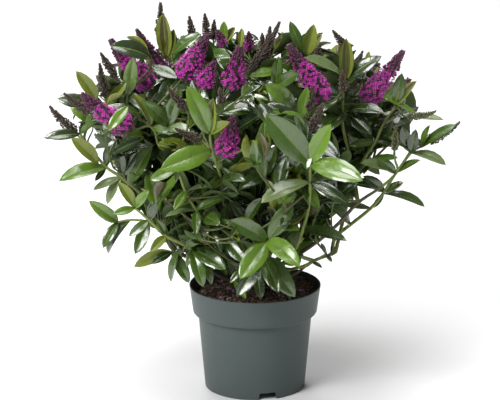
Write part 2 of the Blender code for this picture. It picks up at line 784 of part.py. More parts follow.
def main():
    """Build every object of the plant and its pot."""
    clear_scene()
    build_pot(principled("pot plastic", POT_COLOUR, roughness=0.42))
    build_soil(principled("peat soil", SOIL_COLOUR, roughness=0.95))
    bark = principled("bark", BARK_COLOUR, roughness=0.80)
    build_trunk(bark)
    foliage = principled("foliage", FOLIAGE_COLOUR, roughness=0.45)
    masses = grow_masses()
    for mass in masses:
        rings, faces = tube(mass.bough, mass.bough_radii, BOUGH_SIDES)
        new_object("bough_" + mass.name, mesh_of("bough", rings, faces), bark, LIMB_SMOOTH_ANGLE)
    guard = guard_tree(masses)
    shown = show_shoots()
    shoots = shown + ruled_shoots(shown)
    for mass in masses:
        growth = Growth(mass, guard)
        growth.add_stem()
        for shoot in shoots:
            nearest = min(masses, key=lambda other: (other.site - shoot.middle()).length)
            if nearest is mass:
                growth.add_shoot(shoot)
        growth.build(foliage)


main()
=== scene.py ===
"""A flowering hebe shrub in its plastic nursery pot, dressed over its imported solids.

Laid out as an add-on and run as a script. Units are metres, +Z is up, the pot's axis is
the Z axis, and the front looks towards -Y with +X on its right. The crown grows on from
the limbs by the rule of its solids, carried on to finer twigs, real leaves and florets.
"""

import math
from random import Random

import bmesh
import bpy
import numpy as np
from bpy.props import FloatProperty, FloatVectorProperty, IntProperty, PointerProperty
from mathutils import Matrix, Vector, noise


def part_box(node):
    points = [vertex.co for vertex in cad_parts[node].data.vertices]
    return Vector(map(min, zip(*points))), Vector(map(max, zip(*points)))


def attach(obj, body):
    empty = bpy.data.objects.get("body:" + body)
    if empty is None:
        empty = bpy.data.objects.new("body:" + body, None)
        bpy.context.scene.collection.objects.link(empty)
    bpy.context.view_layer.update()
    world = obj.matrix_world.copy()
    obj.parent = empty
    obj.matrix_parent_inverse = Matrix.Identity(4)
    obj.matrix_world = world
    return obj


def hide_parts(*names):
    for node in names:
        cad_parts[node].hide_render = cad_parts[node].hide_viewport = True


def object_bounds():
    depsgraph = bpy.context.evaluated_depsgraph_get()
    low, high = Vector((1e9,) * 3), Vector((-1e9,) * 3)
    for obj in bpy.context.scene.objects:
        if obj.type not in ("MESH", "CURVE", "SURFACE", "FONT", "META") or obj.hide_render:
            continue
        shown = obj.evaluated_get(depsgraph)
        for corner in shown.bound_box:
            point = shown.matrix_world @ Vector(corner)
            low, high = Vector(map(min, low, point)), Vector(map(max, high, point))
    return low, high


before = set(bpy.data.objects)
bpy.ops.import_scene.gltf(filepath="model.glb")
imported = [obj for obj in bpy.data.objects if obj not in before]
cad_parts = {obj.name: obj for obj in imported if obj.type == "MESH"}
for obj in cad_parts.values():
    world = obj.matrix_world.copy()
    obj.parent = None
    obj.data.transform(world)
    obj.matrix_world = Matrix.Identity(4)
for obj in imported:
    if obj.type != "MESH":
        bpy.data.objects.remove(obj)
CAD_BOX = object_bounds()

bl_info = {
    "name": "Potted Hebe Shrub",
    "version": (1, 0, 0),
    "blender": (4, 5, 0),
    "location": "View3D > Sidebar > Hebe",
    "description": "Dresses a hebe shrub in bloom and its nursery pot",
    "category": "Add Mesh",
}

BODY = "root"
UP = Vector((0.0, 0.0, 1.0))
STEEP = 0.9
MATCH_WITHIN = 0.4

# Camera: its distance from the rim's centre, how far it looks down, its lens in
# millimetres, where the rim's centre shows in the frame of 500 by 400 pixels, and how
# many metres a pixel is there, across and up
CAMERA_AWAY = 3.0
CAMERA_ELEVATION = 17.1
CAMERA_LENS = 166.8
SENSOR_WIDTH = 36.0
RIM_PIXEL = (255.2, 283.4)
FRAME_PIXELS = (500, 400)
PIXEL_ACROSS = 0.001295
PIXEL_UP = 0.001355

# Pot and soil
POT_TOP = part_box("pot")[1]
POT_HEIGHT = POT_TOP.z
RIM_RADIUS = POT_TOP.x
COLLAR_HEIGHT = 0.0370
RIM_BEAD = 0.0004
RIM_BEAD_DROP = 0.0034
COLLAR_FOOT_RADIUS = 0.0805
COLLAR_ROUND = 0.0035
BODY_TOP_RADIUS = 0.0737
FOOT_RADIUS = 0.0649
WALL = 0.0016
FLOOR_UNDERSIDE = 0.0105
FOOT_RING_WIDTH = 0.0024
LIP_ROUND = 0.0007
COLLAR_STEP = 0.0010
COLLAR_UNDERCUT_SHARE = 0.4
STEP_RISE = 0.0026
BODY_RING_SHARES = (0.25, 0.5, 0.75)
RIM_BEAD_RINGS = ((1.2, 1.0), (0.2, 0.72))
POT_SEGMENTS = 120
NOTCH_COUNT = 3
NOTCH_FIRST_BEARING = 284.6
NOTCH_WIDTH = 0.0260
NOTCH_TOP_WIDTH = 0.0210
NOTCH_HEIGHT = 0.0090
NOTCH_REACHES = (0.8, 1.2)
DRAIN_COUNT = 6
DRAIN_RADIUS = 0.0045
DRAIN_RING = 0.0420
DRAIN_TURN = 0.37
DRAIN_SIDES = 24
CUT_SPARE = 0.004
POT_SMOOTH_ANGLE = 40.0
SOIL_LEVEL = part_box("soil")[1].z
SOIL_EDGE_DROP = 0.0030
SOIL_WALL_GAP = 0.0005
SOIL_HEAP_BEARING = 38.0
SOIL_HEAP_RISE = 0.0088
SOIL_RINGS = 30
SOIL_SHOULDER = 0.004
SOIL_ROUGH_DEPTH = 0.002
SOIL_LUMP_SCALE = 170.0
SOIL_LUMP_NOISE = (0.9, 2.0, 4)
SOIL_LUMP_LEVEL = 0.35

# Crumbs, fibres and fallen florets on the soil. A crumb's form is its stretch and seed, an
# open floret's its spread and cup. A share is of the peat's or the petals' colour, or of a
# floret's size.
LITTER_REACH = 0.0765
LITTER_LEAST_UP = 0.4
LITTER_SIZES = (0.5, 1.4)
CRUMB_SIZE = 0.0040
CRUMB_CORNERS = (0.75, 1.2)
CRUMB_FORMS = (((1.0, 0.8, 0.7), 3), ((1.3, 0.7, 0.6), 5), ((0.8, 0.8, 0.8), 8))
CRUMB_SHARE = 3.2
CRUMB_SEED = 3
FIBRE_BENDS = (0.22, -0.10)
FIBRE_STEPS = 4
FIBRE_SIDES = 3
FIBRE_RADIUS = 0.035
FIBRE_LIFTS = (0.05, 0.10)
FIBRE_SHARE = 8.0
FIBRE_SHINE = 0.8
FALLEN_FORMS = ((0.52, 0.08), (0.46, 0.30))
# Fallen florets' pink: partly their own colour, partly painted light, much paler than the live petals where
# the crown's shade falls on the soil
FALLEN_PINK_WITH_PAINTED_LIGHT = (0.92, 0.46, 0.90)
FALLEN_THROAT_SHARE = 0.3
FALLEN_SIZE_SHARE = 1.45
FALLEN_SEED = 11
PART_CRUMB, PART_FIBRE = 0, 1
BELOW_ONE = 0.999

# Trunk and boughs: the trunk's radii by share of its height, and for each tier its name, how
# many masses, the first one's bearing, their reach and height, how much of the way is
# bough, where on the trunk it starts, its rise in degrees and its two radii
SEAT_GAP = 0.0003
TRUNK_HEIGHT = 0.0420
TRUNK_LEAN = (0.0030, -0.0020)
TRUNK_SHAPE = ((0.0, 0.0135), (0.14, 0.0098), (0.40, 0.0082), (0.80, 0.0080), (1.0, 0.0068))
BOUGH_PULL = 0.40
BOUGH_TURN_UP = 0.25
TRUNK_STEPS = 14
TRUNK_SIDES = 32
TRUNK_RELIEF_SHARE = 1.8
TRUNK_RELIEF_SCALE = 160.0
BOUGH_SIDES = 14
BOUGH_RELIEF_SCALE = 320.0
TIERS = (
    ("low", 5, 270.0, 0.112, 0.190, 0.58, 0.22, 18.0, 0.0022, 0.0017),
    ("outer", 7, 180.0, 0.180, 0.290, 0.72, 0.52, 38.0, 0.0031, 0.0022),
    ("upper", 5, 234.0, 0.112, 0.392, 0.66, 0.84, 62.0, 0.0030, 0.0021),
    ("top", 1, 0.0, 0.000, 0.432, 0.56, 1.0, 90.0, 0.0028, 0.0020),
)

# Crown: the outline by radius and height that the solids' shoots end on, and their rule
CROWN_OUTLINE = (
    (0.078, 0.168), (0.132, 0.188), (0.186, 0.232), (0.224, 0.280), (0.236, 0.326),
    (0.226, 0.372), (0.196, 0.412), (0.148, 0.440), (0.084, 0.458), (0.000, 0.464),
)
OUTER_SHOOTS = 64
INNER_SHOOTS = 15
INNER_SHARE = 0.60
INNER_CENTRE_HEIGHT = 0.235
CROWN_UNEVENNESS = 0.12
RIGHT_LIFT = 0.030
RIGHT_CUT = 0.14
SPIKE_CLEARANCE = 0.034
SHOOT_LOWEST_CLIMB = 12.0
SHOOT_CLIMB_GAIN = 52.0
SHOOT_TOP_CLIMB_GAIN = 22.0
SHOOT_TOP_REACH = 0.15
GOLDEN_TURN = math.pi * (3.0 - math.sqrt(5.0))
STEM_REACH = 0.9
STEM_START_PULL = 0.35
STEM_END_PULL = 0.30
SHOOT_START_PULL = 0.30
SHOOT_END_PULL = 0.40
SHOOT_BENDS = (1.0, 0.5, 0.1)
SHOOT_MOST_HIDING = 2
SHOOT_FEWEST_LEAVES = 4
SHOW_STEM_STEPS = 4
SHOW_FULL_LENGTH = 0.22
SHOW_THINNEST = 0.30
LINE_TRIALS = (0.0, 0.25, 0.5, 0.75)
BRANCH_SHORTEST = 0.014
BRANCH_LONGEST = 0.075
BRANCH_LEAST_FACING = 0.4
BRANCH_START_PULL = 0.30
BRANCH_END_PULL = 0.35
SIDE_FEWEST_LEAVES = 2
SHOOT_FIRST_SHARE = 0.25
SHOOT_LAST_SHARE = 0.95
SPIKE_LOWEST = 0.330
BUD_CHANCE = 0.50
BLOOM_CHANCE = 0.24
BLOOM_BACK_BEARINGS = (-25.0, 205.0)
BUD_LENGTHS = (0.022, 0.050)
BLOOM_LENGTHS = (0.055, 0.075)
SHOW_TILT_TO_FRONT = 0.10
SHOW_FIRST_SEED = 1000

# Spikes that show at the front: foot across, foot back, foot height, lean to the right
# in degrees, length and kind. These sixteen are the solids' own, one moved by 3 mm, and
# the rows after them are this script's.
SHOW_SPIKES = (
    (-0.156, -0.090, 0.362, -50, 0.074, "bloom"),
    (-0.132, -0.020, 0.401, -38, 0.079, "bloom"),
    (-0.109, 0.030, 0.405, -34, 0.074, "half"),
    (-0.089, -0.080, 0.426, 29, 0.063, "bloom"),
    (-0.028, -0.090, 0.415, 10, 0.054, "bloom"),
    (0.085, -0.100, 0.404, -33, 0.082, "bloom"),
    (0.137, -0.030, 0.384, 35, 0.082, "bloom"),
    (-0.036, -0.165, 0.348, 11, 0.051, "bloom"),
    (-0.120, 0.020, 0.456, 1, 0.046, "bud"),
    (-0.006, -0.060, 0.425, 28, 0.077, "bud"),
    (-0.227, -0.020, 0.341, -41, 0.048, "bud"),
    (-0.085, -0.110, 0.394, -38, 0.034, "bud"),
    (0.067, -0.120, 0.394, 6, 0.031, "bud"),
    (0.120, 0.020, 0.440, -40, 0.034, "bud"),
    (0.190, -0.055, 0.370, 76, 0.036, "green"),
    (0.220, -0.035, 0.333, 53, 0.046, "green"),
)
MORE_SPIKES = (
    (-0.065, -0.090, 0.417, 26, 0.036, "bloom"),
    (-0.079, 0.000, 0.460, -7, 0.028, "bud"),
    (-0.061, 0.030, 0.454, -5, 0.032, "bud"),
    (-0.054, 0.060, 0.446, 4, 0.026, "bud"),
    (-0.179, 0.030, 0.405, -30, 0.035, "bud"),
    (-0.194, 0.060, 0.373, -8, 0.043, "bud"),
    (-0.206, -0.055, 0.376, -51, 0.040, "bud"),
    (-0.067, -0.130, 0.359, -63, 0.033, "bud"),
    (0.107, -0.100, 0.414, -1, 0.025, "bud"),
    (0.208, 0.000, 0.321, 53, 0.042, "green"),
    (0.173, -0.075, 0.333, 2, 0.032, "green"),
    (0.009, 0.000, 0.444, 0, 0.022, "bud"),
    (0.047, 0.020, 0.427, 0, 0.022, "bud"),
    (-0.040, -0.020, 0.455, -20, 0.020, "half"),
    (-0.008, 0.030, 0.438, 0, 0.024, "half"),
)

# Stems that show at the front, from inside to tip: pixel and depth behind the axis
SHOW_STEMS = (
    ((250, 275, -0.05), (264, 257, -0.12), (268, 240, -0.155)),
    ((212, 268, -0.04), (192, 249, -0.09), (166, 236, -0.10), (149, 220, -0.10), (135, 208, -0.10)),
    ((170, 232, -0.02), (149, 222, -0.06), (131, 220, -0.06), (118, 222, -0.06)),
    ((165, 214, -0.01), (141, 193, -0.04), (121, 177, -0.05), (106, 167, -0.05), (92, 150, -0.05),
     (80, 134, -0.05)),
    ((221, 252, -0.08), (210, 229, -0.11), (196, 210, -0.12), (186, 193, -0.12), (177, 168, -0.12)),
    ((296, 252, -0.05), (303, 229, -0.09), (309, 205, -0.13), (310, 182, -0.17), (310, 163, -0.20)),
    ((335, 238, 0.00), (350, 225, -0.02), (371, 208, -0.03), (384, 192, -0.035), (396, 173, -0.04),
     (411, 153, -0.04), (422, 146, -0.04)),
    ((352, 185, 0.00), (364, 159, -0.02), (375, 142, -0.03), (384, 123, -0.03), (395, 107, -0.03)),
    ((397, 172, -0.04), (395, 160, -0.05), (394, 149, -0.075)),
    ((280, 272, -0.03), (297, 268, -0.06), (312, 262, -0.07), (326, 254, -0.07)),
    ((225, 205, -0.06), (221, 178, -0.12), (212, 150, -0.17), (210, 134, -0.18)),
    ((352, 165, -0.01), (343, 128, -0.03), (343, 100, -0.04), (346, 80, -0.04)),
    ((140, 150, 0.00), (127, 125, -0.03), (127, 105, -0.05), (128, 96, -0.05)),
    ((165, 150, -0.06), (155, 132, -0.08), (151, 127, -0.08)),
    ((180, 262, -0.04), (172, 252, -0.06), (160, 250, -0.07)),
)

# Leaves that show at the front. Each row has a foot's pixel and depth behind the axis, and
# its leaves: tip's pixel and depth, how far the upper side turns from the sky to the
# viewer, and tone.
SHOW_LEAVES = (
    ((268, 240), -0.155, ((229, 220), -0.175, 0.75, "mid"), ((240, 279), -0.200, 0.80, "light"),
     ((300, 267), -0.200, 0.75, "fresh"), ((293, 202), -0.150, 0.85, "mid")),
    ((264, 257), -0.120, ((279, 293), -0.165, 0.80, "mid"), ((236, 297), -0.150, 0.75, "dark"),
     ((295, 297), -0.135, 0.80, "mid")),
    ((264, 257), -0.115, ((288, 272), -0.120, 0.60, "mid")),
    ((256, 268), -0.100, ((261, 299), -0.115, 0.70, "dark")),
    ((256, 268), -0.095, ((233, 261), -0.100, 0.50, "dark")),
    ((234, 281), -0.100, ((246, 299), -0.115, 0.75, "light")),
    ((243, 268), -0.110, ((230, 283), -0.120, 0.75, "mid")),
    ((223, 236), -0.100, ((246, 263), -0.125, 0.80, "mid")),
    ((222, 244), -0.090, ((232, 276), -0.105, 0.75, "dark")),
    ((192, 249), -0.090, ((226, 270), -0.130, 0.65, "mid"), ((203, 287), -0.110, 0.75, "mid")),
    ((172, 252), -0.060, ((189, 283), -0.070, 0.75, "mid"), ((134, 267), -0.075, 0.60, "young"),
     ((151, 264), -0.080, 0.75, "dark")),
    ((180, 249), -0.070, ((171, 282), -0.070, 0.15, "mid")),
    ((191, 249), -0.085, ((187, 267), -0.095, 0.75, "pale")),
    ((166, 236), -0.100, ((188, 223), -0.110, 0.10, "pale"), ((150, 252), -0.120, 0.70, "young")),
    ((149, 220), -0.100, ((129, 236), -0.110, 0.80, "mid")),
    ((149, 222), -0.060, ((135, 254), -0.080, 0.75, "mid")),
    ((149, 220), -0.100, ((158, 201), -0.110, 0.75, "dark")),
    ((135, 208), -0.100, ((113, 214), -0.115, 0.70, "light"), ((118, 182), -0.100, 0.50, "young"),
     ((149, 190), -0.110, 0.70, "light")),
    ((118, 222), -0.060, ((89, 201), -0.075, 0.95, "light"), ((103, 248), -0.075, 0.70, "mid")),
    ((131, 220), -0.060, ((108, 254), -0.060, 0.25, "dark")),
    ((141, 193), -0.040, ((162, 178), -0.070, 0.60, "light"), ((148, 218), -0.070, 0.70, "dark")),
    ((121, 177), -0.050, ((93, 190), -0.060, 0.40, "pale"), ((107, 204), -0.050, 0.50, "pale"),
     ((137, 152), -0.060, 0.60, "dark")),
    ((106, 167), -0.050, ((59, 181), -0.070, 0.55, "light")),
    ((106, 167), -0.045, ((95, 181), -0.055, 0.95, "dark")),
    ((106, 167), -0.050, ((117, 138), -0.050, 0.40, "dark")),
    ((122, 173), -0.055, ((118, 145), -0.065, 0.95, "dark")),
    ((111, 154), -0.060, ((143, 139), -0.090, 0.50, "dark")),
    ((80, 134), -0.050, ((44, 138), -0.060, 0.75, "dark"), ((97, 120), -0.060, 0.65, "mid")),
    ((98, 164), -0.055, ((71, 138), -0.065, 0.55, "young")),
    ((97, 101), -0.040, ((76, 71), -0.045, 0.60, "young")),
    ((97, 106), -0.020, ((56, 98), -0.025, 0.80, "dark")),
    ((92, 124), -0.030, ((70, 108), -0.035, 0.70, "light")),
    ((97, 101), -0.040, ((112, 122), -0.060, 0.60, "mid")),
    ((186, 191), -0.120, ((174, 210), -0.145, 0.90, "light")),
    ((196, 210), -0.120, ((165, 217), -0.135, 0.10, "pale")),
    ((150, 221), -0.095, ((152, 201), -0.105, 0.85, "mid")),
    ((166, 236), -0.095, ((156, 219), -0.105, 0.70, "mid")),
    ((186, 193), -0.120, ((210, 187), -0.130, 0.15, "pale")),
    ((196, 210), -0.120, ((196, 235), -0.145, 0.95, "mid"), ((228, 197), -0.120, 0.45, "mid")),
    ((210, 229), -0.110, ((230, 221), -0.130, 0.60, "mid"), ((221, 253), -0.130, 0.75, "dark")),
    ((177, 168), -0.120, ((188, 164), -0.140, 0.80, "fresh"), ((150, 180), -0.130, 0.70, "light")),
    ((212, 150), -0.170, ((160, 170), -0.210, 0.85, "light")),
    ((210, 134), -0.180, ((187, 86), -0.190, 0.85, "light"), ((213, 98), -0.185, 0.50, "bronze"),
     ((230, 122), -0.195, 0.65, "young")),
    ((221, 178), -0.120, ((246, 181), -0.150, 0.70, "mid"), ((198, 160), -0.140, 0.70, "dark")),
    ((151, 127), -0.080, ((132, 94), -0.090, 0.40, "young"), ((176, 133), -0.100, 0.60, "mid")),
    ((168, 126), -0.090, ((142, 101), -0.110, 0.75, "mid"), ((181, 88), -0.100, 0.70, "mid"),
     ((195, 134), -0.110, 0.70, "pale")),
    ((128, 96), -0.050, ((133, 57), -0.060, 0.80, "light")),
    ((128, 106), -0.110, ((108, 131), -0.130, 0.85, "light")),
    ((128, 96), -0.050, ((150, 113), -0.070, 0.65, "dark")),
    ((151, 58), -0.030, ((110, 46), -0.050, 0.65, "dark")),
    ((166, 58), 0.000, ((163, 13), 0.000, 0.90, "bronze")),
    ((148, 51), 0.010, ((126, 37), 0.010, 0.30, "bronze")),
    ((172, 55), -0.010, ((202, 34), -0.020, 0.50, "mid")),
    ((151, 66), -0.030, ((177, 78), -0.050, 0.50, "dark")),
    ((168, 57), 0.000, ((174, 29), 0.000, 0.50, "bronze")),
    ((223, 45), 0.020, ((224, 21), 0.020, 0.85, "fresh"), ((235, 27), 0.030, 0.60, "bronze")),
    ((240, 48), 0.000, ((242, 28), 0.010, 0.70, "young")),
    ((236, 75), -0.060, ((217, 106), -0.080, 0.65, "dark")),
    ((302, 51), -0.020, ((290, 21), -0.020, 0.80, "mid")),
    ((306, 57), -0.020, ((314, 24), -0.020, 0.75, "young"), ((322, 34), 0.000, 0.70, "bronze")),
    ((346, 80), -0.040, ((346, 38), -0.045, 0.90, "bronze"), ((382, 56), -0.050, 0.60, "dark"),
     ((304, 58), -0.070, 0.30, "pale")),
    ((275, 88), -0.080, ((302, 71), -0.110, 0.80, "mid"), ((279, 56), -0.080, 0.75, "mid")),
    ((294, 107), -0.100, ((265, 84), -0.120, 0.80, "light")),
    ((301, 117), -0.110, ((308, 87), -0.120, 0.80, "fresh")),
    ((395, 106), -0.030, ((402, 73), -0.030, 0.80, "mid"), ((417, 81), -0.030, 0.65, "bronze")),
    ((395, 116), -0.030, ((444, 120), -0.050, 0.12, "pale")),
    ((422, 146), -0.040, ((456, 124), -0.045, 0.35, "mid")),
    ((411, 152), -0.040, ((402, 127), -0.055, 0.95, "dark")),
    ((422, 146), -0.040, ((430, 125), -0.040, 0.30, "fresh")),
    ((411, 153), -0.040, ((446, 165), -0.050, 0.30, "pale")),
    ((411, 153), -0.042, ((416, 129), -0.055, 0.95, "dark")),
    ((396, 173), -0.040, ((377, 158), -0.050, 0.80, "mid")),
    ((384, 192), -0.035, ((404, 182), -0.040, 0.60, "mid")),
    ((411, 150), -0.040, ((388, 137), -0.060, 0.55, "mid")),
    ((396, 173), -0.040, ((421, 160), -0.040, 0.40, "light"), ((361, 163), -0.060, 0.35, "pale")),
    ((368, 160), -0.030, ((398, 158), -0.050, 0.30, "mid")),
    ((384, 191), -0.035, ((363, 176), -0.050, 0.85, "dark"), ((350, 183), -0.050, 0.30, "dark")),
    ((384, 194), -0.020, ((373, 208), -0.020, 0.80, "mid")),
    ((384, 194), -0.035, ((425, 207), -0.035, 0.25, "mid")),
    ((371, 208), -0.030, ((343, 206), -0.050, 0.35, "pale")),
    ((375, 142), -0.030, ((348, 146), -0.045, 0.50, "mid"), ((399, 150), -0.030, 0.35, "dark")),
    ((350, 225), -0.020, ((328, 206), -0.050, 0.60, "mid")),
    ((310, 163), -0.200, ((363, 181), -0.246, 0.65, "light"), ((266, 114), -0.215, 0.85, "mid"),
     ((331, 124), -0.215, 0.85, "fresh")),
    ((310, 182), -0.170, ((261, 203), -0.200, 0.25, "pale"), ((348, 204), -0.190, 0.60, "dark")),
    ((309, 205), -0.130, ((280, 226), -0.160, 0.40, "dark")),
    ((303, 229), -0.090, ((347, 241), -0.105, 0.55, "mid")),
    ((346, 112), -0.030, ((384, 113), -0.060, 0.50, "dark"), ((372, 135), -0.050, 0.65, "dark"),
     ((312, 140), -0.090, 0.65, "mid")),
    ((312, 262), -0.070, ((322, 268), -0.080, 0.50, "mid")),
    ((326, 254), -0.070, ((321, 243), -0.070, 0.60, "dark"), ((332, 262), -0.080, 0.60, "mid")),
    ((297, 268), -0.060, ((300, 247), -0.060, 0.30, "mid")),
    ((265, 176), -0.090, ((276, 145), -0.100, 0.80, "mid"), ((238, 190), -0.120, 0.65, "mid")),
    ((246, 221), -0.100, ((262, 198), -0.120, 0.75, "mid"), ((229, 200), -0.120, 0.70, "dark")),
    ((236, 131), -0.090, ((267, 112), -0.110, 0.60, "dark")),
)
SPRAY_FOOT_HEIGHT = 0.17
SPRAY_TURN_UP = 0.35
LEAFY_FIRST_SEED = 2000

# Sky that shows through the crown or beside it: pixel and radius in pixels
SKY_SPOTS = (
    (87, 71, 8), (94, 84, 4), (108, 52, 4), (120, 37, 5), (136, 34, 4), (149, 28, 4), (176, 14, 9),
    (195, 14, 6), (257, 18, 12), (284, 21, 5), (271, 30, 4), (305, 18, 8), (335, 33, 5), (360, 49, 5),
    (376, 48, 8), (388, 50, 4), (406, 60, 11), (417, 100, 5), (48, 121, 9), (107, 136, 4),
    (101, 148, 4), (421, 124, 4), (436, 126, 5), (446, 150, 11), (57, 158, 15), (83, 184, 9),
    (103, 191, 5), (88, 196, 5), (109, 174, 3), (369, 172, 4), (385, 176, 6), (405, 152, 4),
    (361, 197, 5), (394, 212, 7), (380, 153, 4), (389, 155, 3), (378, 176, 5), (391, 182, 5),
    (354, 216, 3), (423, 186, 17), (100, 226, 5), (124, 238, 5), (120, 256, 12),
    (164, 268, 6), (311, 248, 5), (327, 243, 7), (340, 214, 4), (265, 220, 3), (299, 253, 3),
    (177, 281, 5),
)
SKY_DEPTH = 9.0

# The crown's outline for what grows by the rule: height, reach to the left and to the
# right as seen from the front, and reach all round
CROWN_LIMITS = (
    (0.140, 0.072, 0.060, 0.130), (0.166, 0.090, 0.062, 0.165), (0.182, 0.112, 0.072, 0.195),
    (0.214, 0.135, 0.100, 0.212), (0.247, 0.165, 0.120, 0.232), (0.279, 0.186, 0.140, 0.250),
    (0.312, 0.206, 0.175, 0.262), (0.344, 0.236, 0.205, 0.268), (0.377, 0.246, 0.215, 0.262),
    (0.409, 0.228, 0.205, 0.245), (0.442, 0.198, 0.180, 0.215), (0.462, 0.180, 0.145, 0.185),
    (0.474, 0.150, 0.100, 0.150), (0.489, 0.000, 0.000, 0.000),
)
SEEN_LOWEST = 0.118

# Room that is kept: cells of the balls about spikes, and of the view from the front
CLEAR_CELL = 0.016
CLEAR_STEPS = [(x, y, z) for x in (-1, 0, 1) for y in (-1, 0, 1) for z in (-1, 0, 1)]
SIGHT_CELL = 0.003
SIGHT_SPARE = 0.004

# How far a spike's foot is kept clear and in view round its line, and how much less its tip
SPIKE_SIGHT = {"bloom": 0.016, "half": 0.013, "bud": 0.009, "green": 0.009}
SPIKE_CLEAR_TAPER = 0.6
SPIKE_SIGHT_TAPER = 0.8
PULL_STEPS = 10
PULL_SHARE = 0.94

# Finer twigs, which only this script has: places as shares of a shoot, angles in degrees
FILL_SHOOTS = 70
FILL_SHARE = 0.90
FILL_FIRST_SEED = 300
SIDE_SHOOT_PLACES = (0.42, 0.60, 0.76)
SIDE_SHOOT_LENGTHS = (0.040, 0.072)
SIDE_SHOOT_LEAN = 42.0
SIDE_SHOOT_LIFT = 0.35
SIDE_SHOOT_ALONG = 0.4
SIDE_SHOOT_OUT = 0.7
SIDE_SHOOT_PULL = 0.3
SHOOT_SEED_STEP = 7
SHOOT_SEED_START = 3
LINE_STEPS = 8
TWIG_RADII = {
    "stem": (0.0023, 0.0017), "shoot": (0.0019, 0.0011), "side": (0.0013, 0.0008), "show": (0.0026, 0.0015),
}
TWIG_WOODY, TWIG_GREEN, TWIG_CORE, TWIG_SHADED = 0, 1, 2, 3
TWIG_SIDES = 8

# Pairs of leaves down from a shoot's tip: how far back, length, and angle from the shoot
LEAF_NODES = (
    (0.001, 0.022, 9.0), (0.007, 0.038, 18.0), (0.017, 0.050, 32.0), (0.031, 0.057, 48.0),
    (0.048, 0.060, 62.0), (0.067, 0.060, 74.0), (0.088, 0.058, 86.0),
)
LEAF_SPIKE_DROP = 0.010
LEAF_SPIKE_LEAN = 12.0
LEAF_SPIKE_SKIPS = 1
LEAF_ANGLE_SPREAD = 10.0
LEAF_ROLL_SPREAD = 0.28
LEAF_SIZES = (0.82, 1.10)
LEAF_LIGHT_TURN = 0.55
LEAF_FOOT_BARE = 0.014
LEAF_YOUNG_NODES = 2
LEAF_TONES = ("dark", "mid", "light", "fresh", "pale", "young", "bronze")
LEAF_TONE_CHANCES = (0.38, 0.82, 0.95)
YOUNG_CHANCE = 0.45
BRONZE_CHANCE = 0.16
LEAF_VARIANTS = 6
YOUNG_VARIANTS = 2
BOX_SPARE = 0.004
TOP_SPARE = 0.001
POT_SPARE = 0.003

# Where a leaf is tried for room: shares of its length along and down, and of its half width
LEAF_TRIALS = ((0.3, 0.0, 0.0), (0.5, 0.02, -0.8), (0.5, 0.02, 0.8), (0.75, 0.08, 0.0), (1.0, 0.14, 0.0))
SHOW_LEAF_TRIALS = (0.15, 0.3, 0.45, 0.6, 0.75, 0.9)
SHOW_LEAF_SIGHT = 0.42

# Leaf, one unit long: rings along it, columns across it from margin to margin, what each
# column of faces is, and each form's droop, fold along the rib, puff and twist
LEAF_WIDTH_SHARE = 0.360
LEAF_FOOT_POWER = 0.80
LEAF_TIP_POWER = 0.78
LEAF_RINGS = (0.0, 0.08, 0.22, 0.40, 0.58, 0.76, 0.90)
LEAF_COLUMNS = (-1.0, -0.52, -0.07, 0.07, 0.52, 1.0)
LEAF_RIB_EDGE = 0.1
LEAF_RIB_DROP = 0.05
LEAF_THICKNESS = 0.008
LEAF_KEEL = 0.10
PETIOLE_HALF_WIDTH = 0.016
PART_UPPER, PART_RIB, PART_UNDER, PART_MARGIN = 0, 1, 2, 3
LEAF_PARTS = (PART_MARGIN, PART_UPPER, PART_RIB, PART_UPPER, PART_MARGIN, PART_UNDER, PART_UNDER)
LEAF_FORMS = (
    (0.22, 0.16, 0.16, 0.10), (0.50, 0.30, 0.12, -0.20), (0.80, 0.22, 0.20, 0.25),
    (0.35, 0.42, 0.08, -0.30), (0.62, 0.12, 0.22, 0.05), (1.05, 0.26, 0.16, -0.10),
    (0.12, 0.95, 0.06, 0.10), (0.30, 0.75, 0.08, -0.25),
)

# Floret and bud, one unit across, that look up Z: an open form's spread and cup, and a
# bud's rings as a share of its width, a height and a share of its length
PART_PETAL, PART_THROAT, PART_STAMEN, PART_BUD = 0, 1, 2, 3
FLORET_FORMS = ((0.52, 0.08), (0.46, 0.22), (0.40, 0.34))
WEDGE_FACES = ((0, 2, 1), (0, 1, 3), (0, 3, 2), (1, 2, 3))
PETAL_COUNT = 4
PETAL_FOOT = 0.06
PETAL_HEIGHT = 0.10
PETAL_HALF_WIDTH = 0.17
PETAL_SAG = 0.09
THROAT_CORNERS = ((0.09, 0.0, 0.10), (-0.05, 0.08, 0.10), (-0.05, -0.08, 0.10), (0.0, 0.0, -0.45))
STAMEN_FOOT = (0.0, 0.05, 0.10)
STAMEN_HEAD = (0.12, 0.26, 0.62)
STAMEN_HALF_WIDTH = 0.022
STAMEN_SAG = 0.03
BUD_LENGTH = 0.66
BUD_WIDEST = 0.31
BUD_SIDES = 5
BUD_RINGS = ((0.0, -0.25, 0.0), (0.6, -0.05, 0.0), (1.0, 0.0, 0.35), (0.6, 0.0, 0.75), (0.0, 0.0, 1.0))

# Spikes: how thick they are by their length and along it, and their bend
WHOLE_WIDTH = (1.0, 1.0)
SPIKE_FULL_LENGTH = 0.055
SPIKE_LEAST_SHARE = 0.25
SPIKE_FOOT_SHARE = 0.60
SPIKE_FOOT_GAIN = 3.0
SPIKE_TAPER_POWER = 1.45
SPIKE_TAPER = 0.84
SPIKE_PULL = 0.35
SPIKE_TURN_UP = 0.25

# Each kind of spike: its radius as a share of a full bloom's, the spacing of its florets,
# their size as a share, how much of its length is open, and its core's radii
SPIKE_KINDS = {
    "bloom": (1.0, 0.00023, 1.0, 0.64, (0.0112, 0.0030)),
    "half": (0.70, 0.00036, 0.90, 0.42, (0.0076, 0.0022)),
    "bud": (0.46, 0.00036, 0.74, -1.0, (0.0052, 0.0018)),
    "green": (0.38, 0.00042, 0.70, -1.0, (0.0043, 0.0014)),
}

